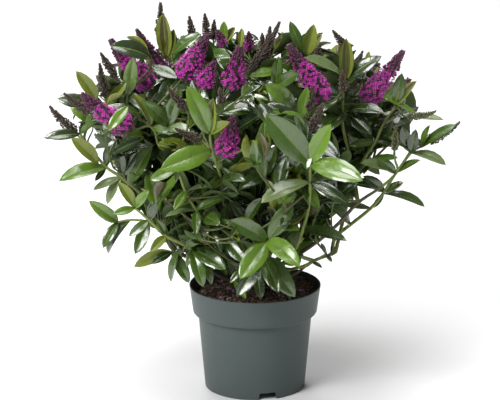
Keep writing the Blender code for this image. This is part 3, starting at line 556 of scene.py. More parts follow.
# How florets stand on a spike: their lift at its foot and by its tip, and how unevenly
FLORET_SPIN_SPREAD = 0.45
FLORET_LIFT = 0.20
FLORET_TIP_LIFT = 0.9
FLORET_LIFT_SPREAD = 0.40
FLORET_REACH_SPREAD = 0.16
FLORET_OPEN_SPREAD = 0.10
FLORET_FORM_LIMITS = (-0.3, 0.4)
FLORET_TIP_SHRINK = 0.55
FLORET_SIZE_SPREAD = 0.18
OTHER_SEED = 50.0

# Fixed colours. Each tone of leaf has a roughness and a coat, each twig two bark colours.
LEAF_FINISHES = {
    "dark": (0.26, 1.0), "mid": (0.28, 1.0), "light": (0.30, 0.9), "fresh": (0.36, 0.6),
    "pale": (0.34, 0.6), "young": (0.40, 0.3), "bronze": (0.36, 0.4),
}
LEAF_COAT_ROUGHNESS = 0.20
LEAF_COAT_IOR = 1.66
LEAF_MOTTLE = 0.16
LEAF_UNDER_SHINE = 0.62
FRESH_SHARE = 1.20
# Pale grey-green for leaves seen nearly edge-on: partly the leaf's colour, partly painted sheen
PALE_LEAF_WITH_PAINTED_SHEEN = (0.155, 0.215, 0.080)
BRONZE_LEAF = (0.085, 0.075, 0.024)
LEAF_RIB_COLOUR = (0.125, 0.185, 0.045)
LEAF_RIB_SHINE = 0.45
BARK_STREAK_COLOUR = (0.13, 0.10, 0.065)
BARK_STREAK_SCALE = 420.0
TWIG_STREAK_SCALE = 300.0
TWIG_COLOURS = {
    "green twig": ((0.21, 0.28, 0.055), (0.120, 0.145, 0.040)),
    "woody twig": ((0.110, 0.115, 0.045), (0.075, 0.058, 0.034)),
    "shaded twig": ((0.120, 0.140, 0.042), (0.070, 0.078, 0.030)),
}
# Spike core: near black, partly the stalk's own dark colour and partly painted shade in the gaps between
# florets and buds
SPIKE_CORE_WITH_PAINTED_SHADE = (0.030, 0.024, 0.018)
PETAL_MOTTLE = 0.22
THROAT_SHARE = 0.45
OPENING_SHARE = 0.72
STAMEN_COLOUR = (0.66, 0.22, 0.62)
PLUM_BUD = (0.120, 0.020, 0.075)
GREEN_BUD = (0.115, 0.125, 0.042)
PEAT_SHARES = (0.15, 3.0)

# Stage, with each lamp's name, place, width and share of the key light's power
FLOOR_RADIUS = 14.0
FLOOR_SIDES = 64
FLOOR_DROP = 0.0004
FLOOR_COLOUR = (0.82, 0.82, 0.82)
FLOOR_SHINE = 0.9
LAMPS = (
    ("key", (-2.3, -2.8, 3.1), 2.0, 1.0),
    ("top", (-0.2, -0.1, 3.6), 2.4, 0.54),
    ("rim", (-0.6, 3.0, 2.8), 1.8, 0.45),
)
LAMP_AIM = Vector((0.0, 0.0, 0.25))
CLIP_NEAR, CLIP_FAR = 0.1, 60.0


class Value:
    """One value in a node tree. Arithmetic on it adds the Math nodes that work it out."""

    def __init__(self, graph, socket):
        self.graph = graph
        self.socket = socket

    def sum(self, operation, first, second):
        return self.graph.node("ShaderNodeMath", {"operation": operation}, {0: first, 1: second})

    def __add__(self, other):
        return self.sum("ADD", self, other)

    def __radd__(self, other):
        return self.sum("ADD", other, self)

    def __sub__(self, other):
        return self.sum("SUBTRACT", self, other)

    def __rsub__(self, other):
        return self.sum("SUBTRACT", other, self)

    def __mul__(self, other):
        return self.sum("MULTIPLY", self, other)

    def __rmul__(self, other):
        return self.sum("MULTIPLY", other, self)

    def __pow__(self, other):
        return self.sum("POWER", self, other)

    def __gt__(self, other):
        return self.sum("GREATER_THAN", self, other)

    def __lt__(self, other):
        return self.sum("LESS_THAN", self, other)


class Graph:
    """A node tree and the one method that adds nodes to it."""

    def __init__(self, tree):
        self.tree = tree

    def node(self, kind, settings=None, inputs=None, output=0):
        """A node: its settings first, then the values or links of its sockets."""
        made = self.tree.nodes.new(kind)
        for name, setting in (settings or {}).items():
            if name == "stops":
                self.fill_ramp(made.color_ramp, setting)
            else:
                setattr(made, name, setting)
        for name, value in (inputs or {}).items():
            self.put(made.inputs[name], value)
        return Value(self, made.outputs[output])

    def put(self, socket, value):
        """Link a value to a socket, or set the socket to a plain one."""
        if isinstance(value, Value):
            self.tree.links.new(value.socket, socket)
        elif socket.type == "RGBA" and len(value) == 3:
            socket.default_value = (*value, 1.0)
        else:
            socket.default_value = value

    @staticmethod
    def fill_ramp(ramp, stops):
        """Give a colour ramp its stops of place and grey."""
        while len(ramp.elements) < len(stops):
            ramp.elements.new(1.0)
        for element, (place, shade) in zip(ramp.elements, stops):
            element.position = place
            element.color = (shade, shade, shade, 1.0)


class Finish(Graph):
    """A material on one Principled shader, with patterns in Object coordinates."""

    def __init__(self, name, **constants):
        self.material = bpy.data.materials.new(name)
        self.material.use_nodes = True
        super().__init__(self.material.node_tree)
        self.shader = self.tree.nodes["Principled BSDF"]
        for label, value in constants.items():
            self.set(label.replace("_", " ").title(), value)

    def set(self, label, value):
        """Set or link one socket of the shader."""
        self.put(self.shader.inputs[label], value)

    def place(self, stretch=(1.0, 1.0, 1.0)):
        """The object's own coordinates, stretched along its axes."""
        spot = self.node("ShaderNodeTexCoord", output="Object")
        return self.node("ShaderNodeMapping", None, {"Vector": spot, "Scale": stretch})

    def speckle(self, scale, detail=3.0, rough=0.55, stretch=(1.0, 1.0, 1.0)):
        """Soft noise between 0 and 1."""
        inputs = {"Vector": self.place(stretch), "Scale": scale, "Detail": detail, "Roughness": rough}
        return self.node("ShaderNodeTexNoise", None, inputs)

    def ramp(self, factor, *stops):
        """A factor remapped through stops."""
        return self.node("ShaderNodeValToRGB", {"stops": stops}, {"Fac": factor})

    def mix(self, factor, first, second):
        """A blend of two colours."""
        inputs = {0: factor, 6: first, 7: second}
        return self.node("ShaderNodeMix", {"data_type": "RGBA"}, inputs, output=2)

    def relief(self, height, strength, distance):
        """Bump from a height value."""
        inputs = {"Height": height, "Strength": strength, "Distance": distance}
        self.set("Normal", self.node("ShaderNodeBump", None, inputs))


class Rule(Graph):
    """A Geometry Nodes tree with named inputs, run once on a base mesh."""

    def __init__(self, name):
        super().__init__(bpy.data.node_groups.new(name, "GeometryNodeTree"))
        self.tree.is_modifier = True
        self.identifiers = {}
        for way in ("INPUT", "OUTPUT"):
            self.tree.interface.new_socket("Geometry", in_out=way, socket_type="NodeSocketGeometry")
        self.entry = self.tree.nodes.new("NodeGroupInput")
        self.exit = self.tree.nodes.new("NodeGroupOutput")
        self.geometry = Value(self, self.entry.outputs[0])

    def input(self, name, kind, default=None):
        """A named input of the tree."""
        item = self.tree.interface.new_socket(name, in_out="INPUT", socket_type="NodeSocket" + kind)
        if default is not None:
            item.default_value = default
        self.identifiers[name] = item.identifier
        return Value(self, self.entry.outputs[name])

    def attribute(self, name, kind="FLOAT"):
        """A named attribute of the geometry."""
        return self.node("GeometryNodeInputNamedAttribute", {"data_type": kind}, {"Name": name})

    def step(self, kind, settings=None, inputs=None):
        """A node that changes the geometry and passes it on."""
        entry = {0: self.geometry, **(inputs or {})}
        self.geometry = self.node(kind, settings, entry)

    def paint(self, choices):
        """Set the materials: each with the attributes' values that choose it."""
        for material, wanted in choices:
            chosen = None
            for name, value in wanted.items():
                inputs = {0: self.attribute(name), 1: float(value), 2: MATCH_WITHIN}
                same = self.node("ShaderNodeMath", {"operation": "COMPARE"}, inputs)
                chosen = same if chosen is None else chosen * same
            inputs = {"Material": material}
            if chosen is not None:
                inputs["Selection"] = chosen
            self.step("GeometryNodeSetMaterial", None, inputs)

    def close(self, finishes):
        """Set the materials and join the last geometry to the tree's output."""
        self.paint(finishes)
        self.tree.links.new(self.geometry.socket, self.exit.inputs[0])

    def random(self, low, high, seed):
        """A random value between two for each point."""
        inputs = {2: low, 3: high, "Seed": seed}
        return self.node("FunctionNodeRandomValue", {"data_type": "FLOAT"}, inputs, 1)

    def scaled(self, vector, scale):
        """A vector times a value."""
        return self.node("ShaderNodeVectorMath", {"operation": "SCALE"}, {0: vector, "Scale": scale})

    def rotated(self, turn, axis, angle):
        """A rotation turned further about one of its own axes."""
        spin = self.node("FunctionNodeAxisAngleToRotation", None, {"Axis": axis, "Angle": angle})
        inputs = {"Rotation": turn, "Rotate By": spin}
        return self.node("FunctionNodeRotateRotation", {"rotation_space": "LOCAL"}, inputs)

    def scatter(self, kind, settings, inputs):
        """Turn the geometry into points, and give how each of them is turned."""
        self.geometry = self.node(kind, settings, inputs, "Points")
        return Value(self, self.geometry.socket.node.outputs["Rotation"])

    def instance(self, shapes, pick, turn, scale, finishes):
        """Put a picked shape on each point, make it real and close the tree."""
        inputs = {"Collection": shapes, "Separate Children": True, "Reset Children": True}
        picked = self.node("GeometryNodeCollectionInfo", None, inputs)
        inputs = {"Instance": picked, "Pick Instance": True, "Instance Index": pick, "Rotation": turn}
        self.step("GeometryNodeInstanceOnPoints", None, {**inputs, "Scale": scale})
        self.step("GeometryNodeRealizeInstances")
        self.close(finishes)

    def grow(self, name, mesh, **inputs):
        """A plain mesh object: the tree run on a mesh with these inputs, then taken off."""
        base = link_object(name, mesh)
        modifier = base.modifiers.new(self.tree.name, "NODES")
        modifier.node_group = self.tree
        for label, value in inputs.items():
            modifier[self.identifiers[label.replace("_", " ")]] = value
        graph = bpy.context.evaluated_depsgraph_get()
        result = bpy.data.meshes.new_from_object(base.evaluated_get(graph))
        base.modifiers.remove(modifier)
        base.data = result
        result.name = name
        return base


def link_object(name, mesh):
    """A mesh as an object of the scene."""
    made = bpy.data.objects.new(name, mesh)
    bpy.context.scene.collection.objects.link(made)
    return made


def mesh_of(name, points, faces):
    """A mesh from points and faces, with its faces turned outwards."""
    mesh = bpy.data.meshes.new(name)
    mesh.from_pydata([tuple(point) for point in points], [], faces)
    sheet = bmesh.new()
    sheet.from_mesh(mesh)
    bmesh.ops.recalc_face_normals(sheet, faces=sheet.faces)
    sheet.to_mesh(mesh)
    sheet.free()
    return mesh


def add_attribute(mesh, name, kind, domain, values):
    """A named attribute with its values."""
    layer = mesh.attributes.new(name, kind, domain)
    layer.data.foreach_set("value", np.array(values, dtype=float).ravel())


def shape_of(name, points, faces, parts):
    """A shape for a rule to pick, with the part that each of its faces is."""
    mesh = mesh_of(name, points, faces)
    add_attribute(mesh, "part", "FLOAT", "FACE", parts)
    return bpy.data.objects.new(name, mesh)


def collection_of(name, shapes):
    """Shapes kept out of the scene, for a rule to pick from."""
    kept = bpy.data.collections.new(name)
    for shape in shapes:
        kept.objects.link(shape)
    return kept


def tint(colour, share):
    """A colour made darker or lighter."""
    return [min(part * share, 1.0) for part in colour]


def finish_piece(piece, slot, *nodes):
    """Put a finished piece on its body and for its nodes; its slot is not used."""
    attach(piece, BODY)
    if nodes:
        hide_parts(*nodes)


def polar(bearing, reach, height):
    """A point at a bearing in degrees, a distance from the axis and a height."""
    turn = math.radians(bearing)
    return Vector((reach * math.cos(turn), reach * math.sin(turn), height))


def eye():
    """The camera's place."""
    climb = math.radians(CAMERA_ELEVATION)
    return Vector((0.0, -CAMERA_AWAY * math.cos(climb), POT_HEIGHT + CAMERA_AWAY * math.sin(climb)))


EYE = eye()
FOCAL_PIXELS = CAMERA_LENS / SENSOR_WIDTH * FRAME_PIXELS[0]
EYE_PITCH = math.radians(CAMERA_ELEVATION) - math.atan((RIM_PIXEL[1] - FRAME_PIXELS[1] / 2) / FOCAL_PIXELS)
EYE_YAW = math.atan((RIM_PIXEL[0] - FRAME_PIXELS[0] / 2) / FOCAL_PIXELS)
EYE_TURN = Matrix.Rotation(EYE_YAW, 3, "Z") @ Matrix.Rotation(math.pi / 2 - EYE_PITCH, 3, "X")


def seen(point):
    """Where a point shows, from the rim's centre: across and height at the rim's own scale."""
    local = EYE_TURN.transposed() @ (point - EYE)
    across = FRAME_PIXELS[0] / 2 - FOCAL_PIXELS * local.x / local.z - RIM_PIXEL[0]
    up = RIM_PIXEL[1] - FRAME_PIXELS[1] / 2 - FOCAL_PIXELS * local.y / local.z
    return across * PIXEL_ACROSS, POT_HEIGHT + up * PIXEL_UP


def spot_at(pixel, back):
    """The point at a depth behind the axis that shows at a pixel."""
    across, up = pixel[0] - FRAME_PIXELS[0] / 2, FRAME_PIXELS[1] / 2 - pixel[1]
    ray = EYE_TURN @ Vector((across, up, -FOCAL_PIXELS))
    return EYE + ray * ((back - EYE.y) / ray.y)


class Clearance:
    """Round room about spikes that no leaf of the rule may enter."""

    def __init__(self):
        self.spots = {}

    @staticmethod
    def cell(point):
        """The cell that a point lies in."""
        return tuple(math.floor(part / CLEAR_CELL) for part in point)

    def keep(self, point, radius):
        """Keep a ball clear."""
        self.spots.setdefault(self.cell(point), []).append((point.copy(), radius))

    def touches(self, point):
        """Whether a point lies in a ball that is kept clear."""
        home = self.cell(point)
        for step in CLEAR_STEPS:
            for spot, radius in self.spots.get(tuple(a + b for a, b in zip(home, step)), ()):
                if (spot - point).length < radius:
                    return True
        return False


class Sight:
    """What stays in view from the front: the depth of what shows, by small cells."""

    def __init__(self):
        self.depths = {}
        for across, down, radius in SKY_SPOTS:
            self.keep(spot_at((across, down), 0.0), radius * PIXEL_ACROSS, SKY_DEPTH)

    @staticmethod
    def cell(point):
        """The cell that a point shows in."""
        across, height = seen(point)
        return round(across / SIGHT_CELL), round(height / SIGHT_CELL)

    def keep(self, point, radius, depth=None):
        """Keep a round spot in view."""
        column, row = self.cell(point)
        reach = int(radius / SIGHT_CELL + 0.5)
        depth = point.y if depth is None else depth
        for right in range(-reach, reach + 1):
            for up in range(-reach, reach + 1):
                if right * right + up * up <= reach * reach:
                    spot = (column + right, row + up)
                    self.depths[spot] = min(self.depths.get(spot, SKY_DEPTH), depth)

    def hides(self, point):
        """Whether a point would hide what stays in view."""
        depth = self.depths.get(self.cell(point))
        return depth is not None and point.y < depth - SIGHT_SPARE


def square_to(direction):
    """Two unit vectors square to a direction and to each other."""
    guide = UP if abs(direction.z) < STEEP else Vector((1.0, 0.0, 0.0))
    first = direction.cross(guide).normalized()
    return first, direction.cross(first).normalized()


def turned(profile, segments):
    """Points and faces of a profile of radius and height turned about Z."""
    points, rings, faces = [], [], []
    for radius, height in profile:
        if radius == 0.0:
            rings.append([len(points)] * segments)
            points.append((0.0, 0.0, height))
            continue
        rings.append([len(points) + step for step in range(segments)])
        for step in range(segments):
            turn = math.tau * step / segments
            points.append((radius * math.cos(turn), radius * math.sin(turn), height))
    last = len(rings) if profile[0][0] != 0.0 else len(rings) - 1
    for row in range(last):
        near, far = rings[row], rings[(row + 1) % len(rings)]
        for step in range(segments):
            ahead = (step + 1) % segments
            corners = list(dict.fromkeys([near[step], near[ahead], far[ahead], far[step]]))
            if len(corners) > 2:
                faces.append(corners)
    return points, faces


def arc(centre, radius, first, last, steps):
    """Points of radius and height round part of a circle, angles in degrees."""
    turns = [math.radians(first + (last - first) * step / steps) for step in range(steps + 1)]
    return [(centre[0] + radius * math.cos(turn), centre[1] + radius * math.sin(turn)) for turn in turns]


def bezier(start, start_pull, end_pull, end, steps):
    """Points along a cubic curve."""
    line = []
    for step in range(steps + 1):
        t = step / steps
        s = 1.0 - t
        line.append(s ** 3 * start + 3 * s * s * t * start_pull + 3 * s * t * t * end_pull + t ** 3 * end)
    return line


def pot_profile():
    """Radius and height of the pot's wall, from under the foot round and back."""
    collar_foot = POT_HEIGHT - COLLAR_HEIGHT
    foot_slope = (BODY_TOP_RADIUS - FOOT_RADIUS) / collar_foot
    floor_top = FLOOR_UNDERSIDE + WALL
    inner_foot = FOOT_RADIUS - FOOT_RING_WIDTH
    lip = (RIM_RADIUS - LIP_ROUND, POT_HEIGHT - LIP_ROUND)
    inner_lip = (RIM_RADIUS - WALL + LIP_ROUND, POT_HEIGHT - LIP_ROUND)
    corner = (COLLAR_FOOT_RADIUS - COLLAR_ROUND, collar_foot + COLLAR_ROUND)
    foot_edge = (FOOT_RADIUS - LIP_ROUND, LIP_ROUND)
    profile = [(inner_foot, 0.0)]
    profile += arc(foot_edge, LIP_ROUND, -90.0, 0.0, 3)
    for share in BODY_RING_SHARES:
        profile.append((FOOT_RADIUS + (BODY_TOP_RADIUS - FOOT_RADIUS) * share, collar_foot * share))
    profile.append((BODY_TOP_RADIUS, collar_foot - COLLAR_STEP * COLLAR_UNDERCUT_SHARE))
    profile += arc(corner, COLLAR_ROUND, -90.0, -4.0, 6)
    for inset, drop in RIM_BEAD_RINGS:
        profile.append((RIM_RADIUS - RIM_BEAD * inset, POT_HEIGHT - RIM_BEAD_DROP * drop))
    profile += arc(lip, LIP_ROUND, 0.0, 90.0, 4)
    profile += arc(inner_lip, LIP_ROUND, 90.0, 180.0, 4)
    profile += [
        (COLLAR_FOOT_RADIUS - WALL, collar_foot + STEP_RISE),
        (BODY_TOP_RADIUS - WALL, collar_foot - COLLAR_STEP),
        (FOOT_RADIUS + foot_slope * floor_top - WALL, floor_top),
        (0.0, floor_top),
        (0.0, FLOOR_UNDERSIDE),
        (inner_foot, FLOOR_UNDERSIDE),
    ]
    return profile


def pot_inside_radius(height):
    """Radius of the pot's inner wall at a height above its floor."""
    collar_foot = POT_HEIGHT - COLLAR_HEIGHT
    inner = (
        (RIM_RADIUS - WALL, POT_HEIGHT), (COLLAR_FOOT_RADIUS - WALL, collar_foot + STEP_RISE),
        (BODY_TOP_RADIUS - WALL, collar_foot - COLLAR_STEP), (FOOT_RADIUS - WALL, 0.0),
    )
    for (upper_radius, upper), (lower_radius, lower) in zip(inner, inner[1:]):
        if height >= lower:
            share = (height - lower) / (upper - lower)
            return lower_radius + share * (upper_radius - lower_radius)
    return inner[-1][0]


def cut_pot(pot, points, faces):
    """Cut a closed shape out of the pot."""
    cutter = link_object("cutter", mesh_of("cutter", points, faces))
    boolean = pot.modifiers.new("Cut", "BOOLEAN")
    boolean.operation = "DIFFERENCE"
    boolean.object = cutter
    graph = bpy.context.evaluated_depsgraph_get()
    result = bpy.data.meshes.new_from_object(pot.evaluated_get(graph))
    pot.modifiers.remove(boolean)
    pot.data = result
    bpy.data.objects.remove(cutter, do_unlink=True)


def notch_shape(bearing):
    """A wedge through the foot ring."""
    points = []
    for share in NOTCH_REACHES:
        for side, width, height in ((-1, NOTCH_WIDTH, -CUT_SPARE), (1, NOTCH_WIDTH, -CUT_SPARE),
                                    (1, NOTCH_TOP_WIDTH, NOTCH_HEIGHT), (-1, NOTCH_TOP_WIDTH, NOTCH_HEIGHT)):
            points.append(Vector((FOOT_RADIUS * share, side * width / 2, height)))
    turn = Matrix.Rotation(math.radians(bearing), 3, "Z")
    faces = [[0, 1, 2, 3], [7, 6, 5, 4], [0, 4, 5, 1], [1, 5, 6, 2], [2, 6, 7, 3], [3, 7, 4, 0]]
    return [turn @ point for point in points], faces


def drain_shape(bearing):
    """A short rod through the pot's floor."""
    centre = polar(bearing, DRAIN_RING, FLOOR_UNDERSIDE + WALL / 2)
    rod = ((0.0, -CUT_SPARE), (DRAIN_RADIUS, -CUT_SPARE), (DRAIN_RADIUS, CUT_SPARE), (0.0, CUT_SPARE))
    points, faces = turned(rod, DRAIN_SIDES)
    return [centre + Vector(point) for point in points], faces


def plastic_finish(colour):
    """Satin moulded plastic with soft clouds and a fine grain."""
    finish = Finish("pot plastic", roughness=0.4)
    cloud = finish.speckle(scale=14.0, detail=4.0)
    grain = finish.speckle(scale=1400.0, detail=2.0)
    finish.set("Base Color", finish.mix(cloud, tint(colour, 0.90), tint(colour, 1.10)))
    finish.set("Roughness", cloud * 0.10 + grain * 0.06 + 0.38)
    finish.set("Specular IOR Level", 0.25)
    finish.relief(grain, strength=0.12, distance=0.0002)
    return finish.material


def peat_finish(colour):
    """Dark damp peat with paler crumbs."""
    finish = Finish("peat", roughness=0.9)
    lumps = finish.speckle(scale=220.0, detail=6.0, rough=0.7)
    pale = finish.ramp(lumps, (0.42, 0.0), (0.62, 1.0))
    finish.set("Base Color", finish.mix(pale, *[tint(colour, share) for share in PEAT_SHARES]))
    finish.set("Roughness", 0.98 - lumps * 0.25)
    finish.relief(lumps, strength=0.6, distance=0.0012)
    return finish.material


def bark_finish(name, colour, other, streak):
    """Bark with streaks that run up the limb."""
    finish = Finish(name, roughness=0.75)
    lines = finish.speckle(scale=streak, detail=5.0, rough=0.65, stretch=(1.0, 1.0, 0.22))
    finish.set("Base Color", finish.mix(finish.ramp(lines, (0.32, 0.0), (0.68, 1.0)), colour, other))
    finish.set("Roughness", 0.85 - lines * 0.25)
    finish.relief(lines, strength=0.5, distance=0.0006)
    return finish.material


def leaf_finish(name, colour, shine, coat=0.0):
    """A leaf's side: one base colour with soft mottling and fine grain."""
    finish = Finish(name, roughness=shine)
    mottle = finish.speckle(scale=46.0)
    fine = finish.speckle(scale=700.0, detail=2.0)
    puckers = finish.speckle(scale=95.0, detail=2.0)
    shades = [tint(colour, 1.0 - LEAF_MOTTLE), tint(colour, 1.0 + LEAF_MOTTLE)]
    finish.set("Base Color", finish.mix(mottle, *shades))
    finish.set("Roughness", fine * 0.12 + (shine - 0.06))
    finish.set("Coat Weight", coat)
    finish.set("Coat Roughness", LEAF_COAT_ROUGHNESS)
    finish.set("Coat IOR", LEAF_COAT_IOR)
    finish.set("Specular IOR Level", 0.40)
    finish.relief(puckers * 0.9 + fine * 0.04, strength=0.45, distance=0.0050)
    return finish.material


def petal_finish(name, colour, shine=0.55):
    """Soft matte petals and buds."""
    finish = Finish(name, roughness=shine)
    mottle = finish.speckle(scale=260.0, detail=2.0)
    shades = [tint(colour, 1.0 - PETAL_MOTTLE), tint(colour, 1.0 + PETAL_MOTTLE)]
    finish.set("Base Color", finish.mix(mottle, *shades))
    finish.set("Roughness", mottle * 0.2 + (shine - 0.1))
    return finish.material


def trunk_axis(share):
    """The trunk's centre at a share of its height."""
    lean = share * share
    foot = SOIL_LEVEL + SEAT_GAP
    return Vector((TRUNK_LEAN[0] * lean, TRUNK_LEAN[1] * lean, foot + TRUNK_HEIGHT * share))


def trunk_radius(share):
    """The trunk's radius at a share of its height."""
    for (low, low_radius), (high, high_radius) in zip(TRUNK_SHAPE, TRUNK_SHAPE[1:]):
        if share <= high:
            return low_radius + (high_radius - low_radius) * (share - low) / (high - low)
    return TRUNK_SHAPE[-1][1]


class Mass:
    """One mass of foliage: its centre, its bough and the stem that grows on."""

    def __init__(self, tier, number):
        name, count, first, reach, height, share, seat, rise, radius, tip_radius = tier
        self.tier = name
        self.name = f"{name}_{number + 1}" if count > 1 else name
        bearing = first + 360.0 * number / count
        self.site = polar(bearing, reach, height)
        if count > 1:
            out = polar(bearing, 1.0, 0.0)
            climb = math.radians(rise)
            heading = out * math.cos(climb) + UP * math.sin(climb)
            beside = min(seat + radius * math.cos(climb) / TRUNK_HEIGHT, 1.0)
            off = trunk_radius(beside) + SEAT_GAP + radius * math.sin(climb)
            start = trunk_axis(beside) + out * off
            start.z = trunk_axis(seat).z
        else:
            heading = UP.copy()
            start = trunk_axis(seat) + heading * SEAT_GAP
        self.root = start.lerp(self.site, share)
        pull = (self.root - start).length * BOUGH_PULL
        arrive = (self.site - self.root).normalized().lerp(UP, BOUGH_TURN_UP).normalized()
        self.heading = arrive
        self.bough = bezier(start, start + heading * pull, self.root - arrive * pull, self.root, LINE_STEPS)
        self.bough_radii = (radius, tip_radius)
        length = (self.site - self.root).length
        self.start = self.root + arrive * SEAT_GAP
        self.end = self.root.lerp(self.site, STEM_REACH)
        self.stem = bezier(self.start, self.start + arrive * length * STEM_START_PULL,
                           self.end.lerp(self.start, STEM_END_PULL), self.end, LINE_STEPS)

    def nearest_on_stem(self, point):
        """The point of the stem that is nearest to a point."""
        return min(self.stem, key=lambda spot: (spot - point).length)

    def along_stem(self, share):
        """A point at a share of the stem."""
        place = share * (len(self.stem) - 1)
        step = min(int(place), len(self.stem) - 2)
        return self.stem[step].lerp(self.stem[step + 1], place - step)

    def shoot_line(self, shoot, bend):
        """The line of a shoot from this mass's stem to its tip."""
        way = (shoot.tip - self.start).normalized()
        main = (self.end - self.start).normalized()
        along = max(0.0, way.dot(main)) ** 2
        foot = self.along_stem(SHOOT_FIRST_SHARE + (SHOOT_LAST_SHARE - SHOOT_FIRST_SHARE) * along)
        length = (shoot.tip - foot).length
        start_pull = foot + main * length * SHOOT_START_PULL * bend
        end_pull = shoot.tip - shoot.heading * length * SHOOT_END_PULL * bend
        return bezier(foot, start_pull, end_pull, shoot.tip, LINE_STEPS)


def outline_spots(outline, count):
    """Spots spread evenly over the surface that an outline sweeps about Z."""
    bands = []
    for (radius, height), (next_radius, next_height) in zip(outline, outline[1:]):
        slant = math.hypot(next_radius - radius, next_height - height)
        bands.append((radius + next_radius) * slant)
    whole = sum(bands)
    spots = []
    for number in range(count):
        wanted = whole * (number + 0.5) / count
        row = 0
        while wanted > bands[row]:
            wanted -= bands[row]
            row += 1
        share = wanted / bands[row]
        radius = outline[row][0] + (outline[row + 1][0] - outline[row][0]) * share
        height = outline[row][1] + (outline[row + 1][1] - outline[row][1]) * share
        spots.append(polar(math.degrees(GOLDEN_TURN * number), radius, height))
    return spots


def shrunk_outline(share):
    """The crown's outline drawn in towards the crown's middle."""
    middle = INNER_CENTRE_HEIGHT
    return [(radius * share, middle + (height - middle) * share) for radius, height in CROWN_OUTLINE]


def lifted_right(spot):
    """A spot moved up and in where it lies low down on the right."""
    widest = max(CROWN_OUTLINE)[1]
    low = min(max((widest - spot.z) / (widest - CROWN_OUTLINE[0][1]), 0.0), 1.0)
    right = max(spot.x, 0.0) / max(CROWN_OUTLINE)[0]
    cut = 1.0 - RIGHT_CUT * low * right
    return Vector((spot.x * cut, spot.y * cut, spot.z + RIGHT_LIFT * low * right))


def shoot_heading(spot):
    """The way a shoot points at its tip: outwards low down, upwards at the top."""
    low, high = CROWN_OUTLINE[0][1], CROWN_OUTLINE[-1][1]
    share = min(max((spot.z - low) / (high - low), 0.0), 1.0)
    reach = math.hypot(spot.x, spot.y)
    middle = max(0.0, 1.0 - reach / SHOOT_TOP_REACH)
    climb = math.radians(SHOOT_LOWEST_CLIMB + (SHOOT_CLIMB_GAIN + SHOOT_TOP_CLIMB_GAIN * middle) * share)
    out = Vector((spot.x, spot.y, 0.0)).normalized()
    return out * math.cos(climb) + UP * math.sin(climb)


class Shoot:
    """One shoot: its tip, the way it points there, and its flower spike."""

    def __init__(self, tip, heading, seed, spike=None, kind=None):
        self.tip = tip
        self.heading = heading
        self.seed = seed
        self.spike = spike
        self.kind = kind

    def middle(self):
        """The middle of what the shoot's tip carries."""
        return self.tip + self.heading * (self.spike or 0.0) * 0.5


def show_shoots(rows, first_seed):
    """The shoots whose flower spikes show at the front."""
    shoots = []
    for number, (across, back, height, lean, length, kind) in enumerate(rows):
        lean = math.radians(lean)
        heading = Vector((math.sin(lean), -SHOW_TILT_TO_FRONT, math.cos(lean))).normalized()
        shoots.append(Shoot(Vector((across, back, height)), heading, first_seed + number, length, kind))
    return shoots


def ruled_shoots(shown):
    """The rest of the solids' shoots, spread by the crown's outline."""
    shoots = []
    spots = outline_spots(CROWN_OUTLINE, OUTER_SHOOTS)
    spots += outline_spots(shrunk_outline(INNER_SHARE), INNER_SHOOTS)
    centre = Vector((0.0, 0.0, INNER_CENTRE_HEIGHT))
    for number, spot in enumerate(spots):
        dice = Random(number)
        tip = lifted_right(centre + (spot - centre) * (1.0 - CROWN_UNEVENNESS * dice.random()))
        spike, kind = None, None
        chance, length, bearing = dice.random(), dice.random(), math.degrees(math.atan2(spot.y, spot.x))
        at_back = BLOOM_BACK_BEARINGS[0] < (bearing + 90.0) % 360.0 - 90.0 < BLOOM_BACK_BEARINGS[1]
        if number < OUTER_SHOOTS and tip.z > SPIKE_LOWEST:
            bloom = at_back and chance < BLOOM_CHANCE
            shortest, longest = BLOOM_LENGTHS if bloom else BUD_LENGTHS
            if bloom or chance < BLOOM_CHANCE + BUD_CHANCE:
                spike = shortest + (longest - shortest) * length
                kind = "bloom" if bloom else "bud"
        if all((tip - other.tip).length > SPIKE_CLEARANCE for other in shown):
            shoots.append(Shoot(tip, shoot_heading(tip), number, spike, kind))
    return shoots


def fill_shoots():
    """More leafy shoots between the others, a little further in."""
    shoots = []
    centre = Vector((0.0, 0.0, INNER_CENTRE_HEIGHT))
    turn = Matrix.Rotation(GOLDEN_TURN / 2, 3, "Z")
    for number, spot in enumerate(outline_spots(CROWN_OUTLINE, FILL_SHOOTS)):
        seed = FILL_FIRST_SEED + number
        dice = Random(seed)
        share = FILL_SHARE - CROWN_UNEVENNESS * 2.0 * dice.random()
        tip = lifted_right(turn @ (centre + (spot - centre) * share))
        shoots.append(Shoot(tip, shoot_heading(tip), seed))
    return shoots


def crown_reach(height):
    """How far the crown reaches to the left, to the right and all round at a height."""
    rows = CROWN_LIMITS
    height = min(max(height, rows[0][0]), rows[-1][0])
    for low, high in zip(rows, rows[1:]):
        if height <= high[0]:
            share = (height - low[0]) / (high[0] - low[0])
            return [first + (last - first) * share for first, last in zip(low[1:], high[1:])]
    return rows[-1][1:]


def in_outline(point):
    """Whether a point lies inside the crown's outline, seen from the front and all round."""
    across, height = seen(point)
    left, right, _ = crown_reach(height)
    in_view = -left < across < right and height > SEEN_LOWEST
    return in_view and math.hypot(point.x, point.y) < crown_reach(point.z)[2]


def smooth_line(points, steps):
    """A smooth line through points, with a number of steps between each two."""
    line = []
    for number in range(len(points) - 1):
        before = points[max(number - 1, 0)]
        first, second = points[number], points[number + 1]
        after = points[min(number + 2, len(points) - 1)]
        part = bezier(first, first + (second - before) / 6, second - (after - first) / 6, second, steps)
        line += part if not line else part[1:]
    return line


def pulled_in(shoot):
    """A shoot's tip drawn to the crown's middle until it and its spike lie in the outline."""
    centre = Vector((0.0, 0.0, INNER_CENTRE_HEIGHT))
    tip = shoot.tip
    for _ in range(PULL_STEPS):
        if in_outline(tip + shoot.heading * (shoot.spike or 0.0)):
            break
        tip = centre.lerp(tip, PULL_SHARE)
    return tip


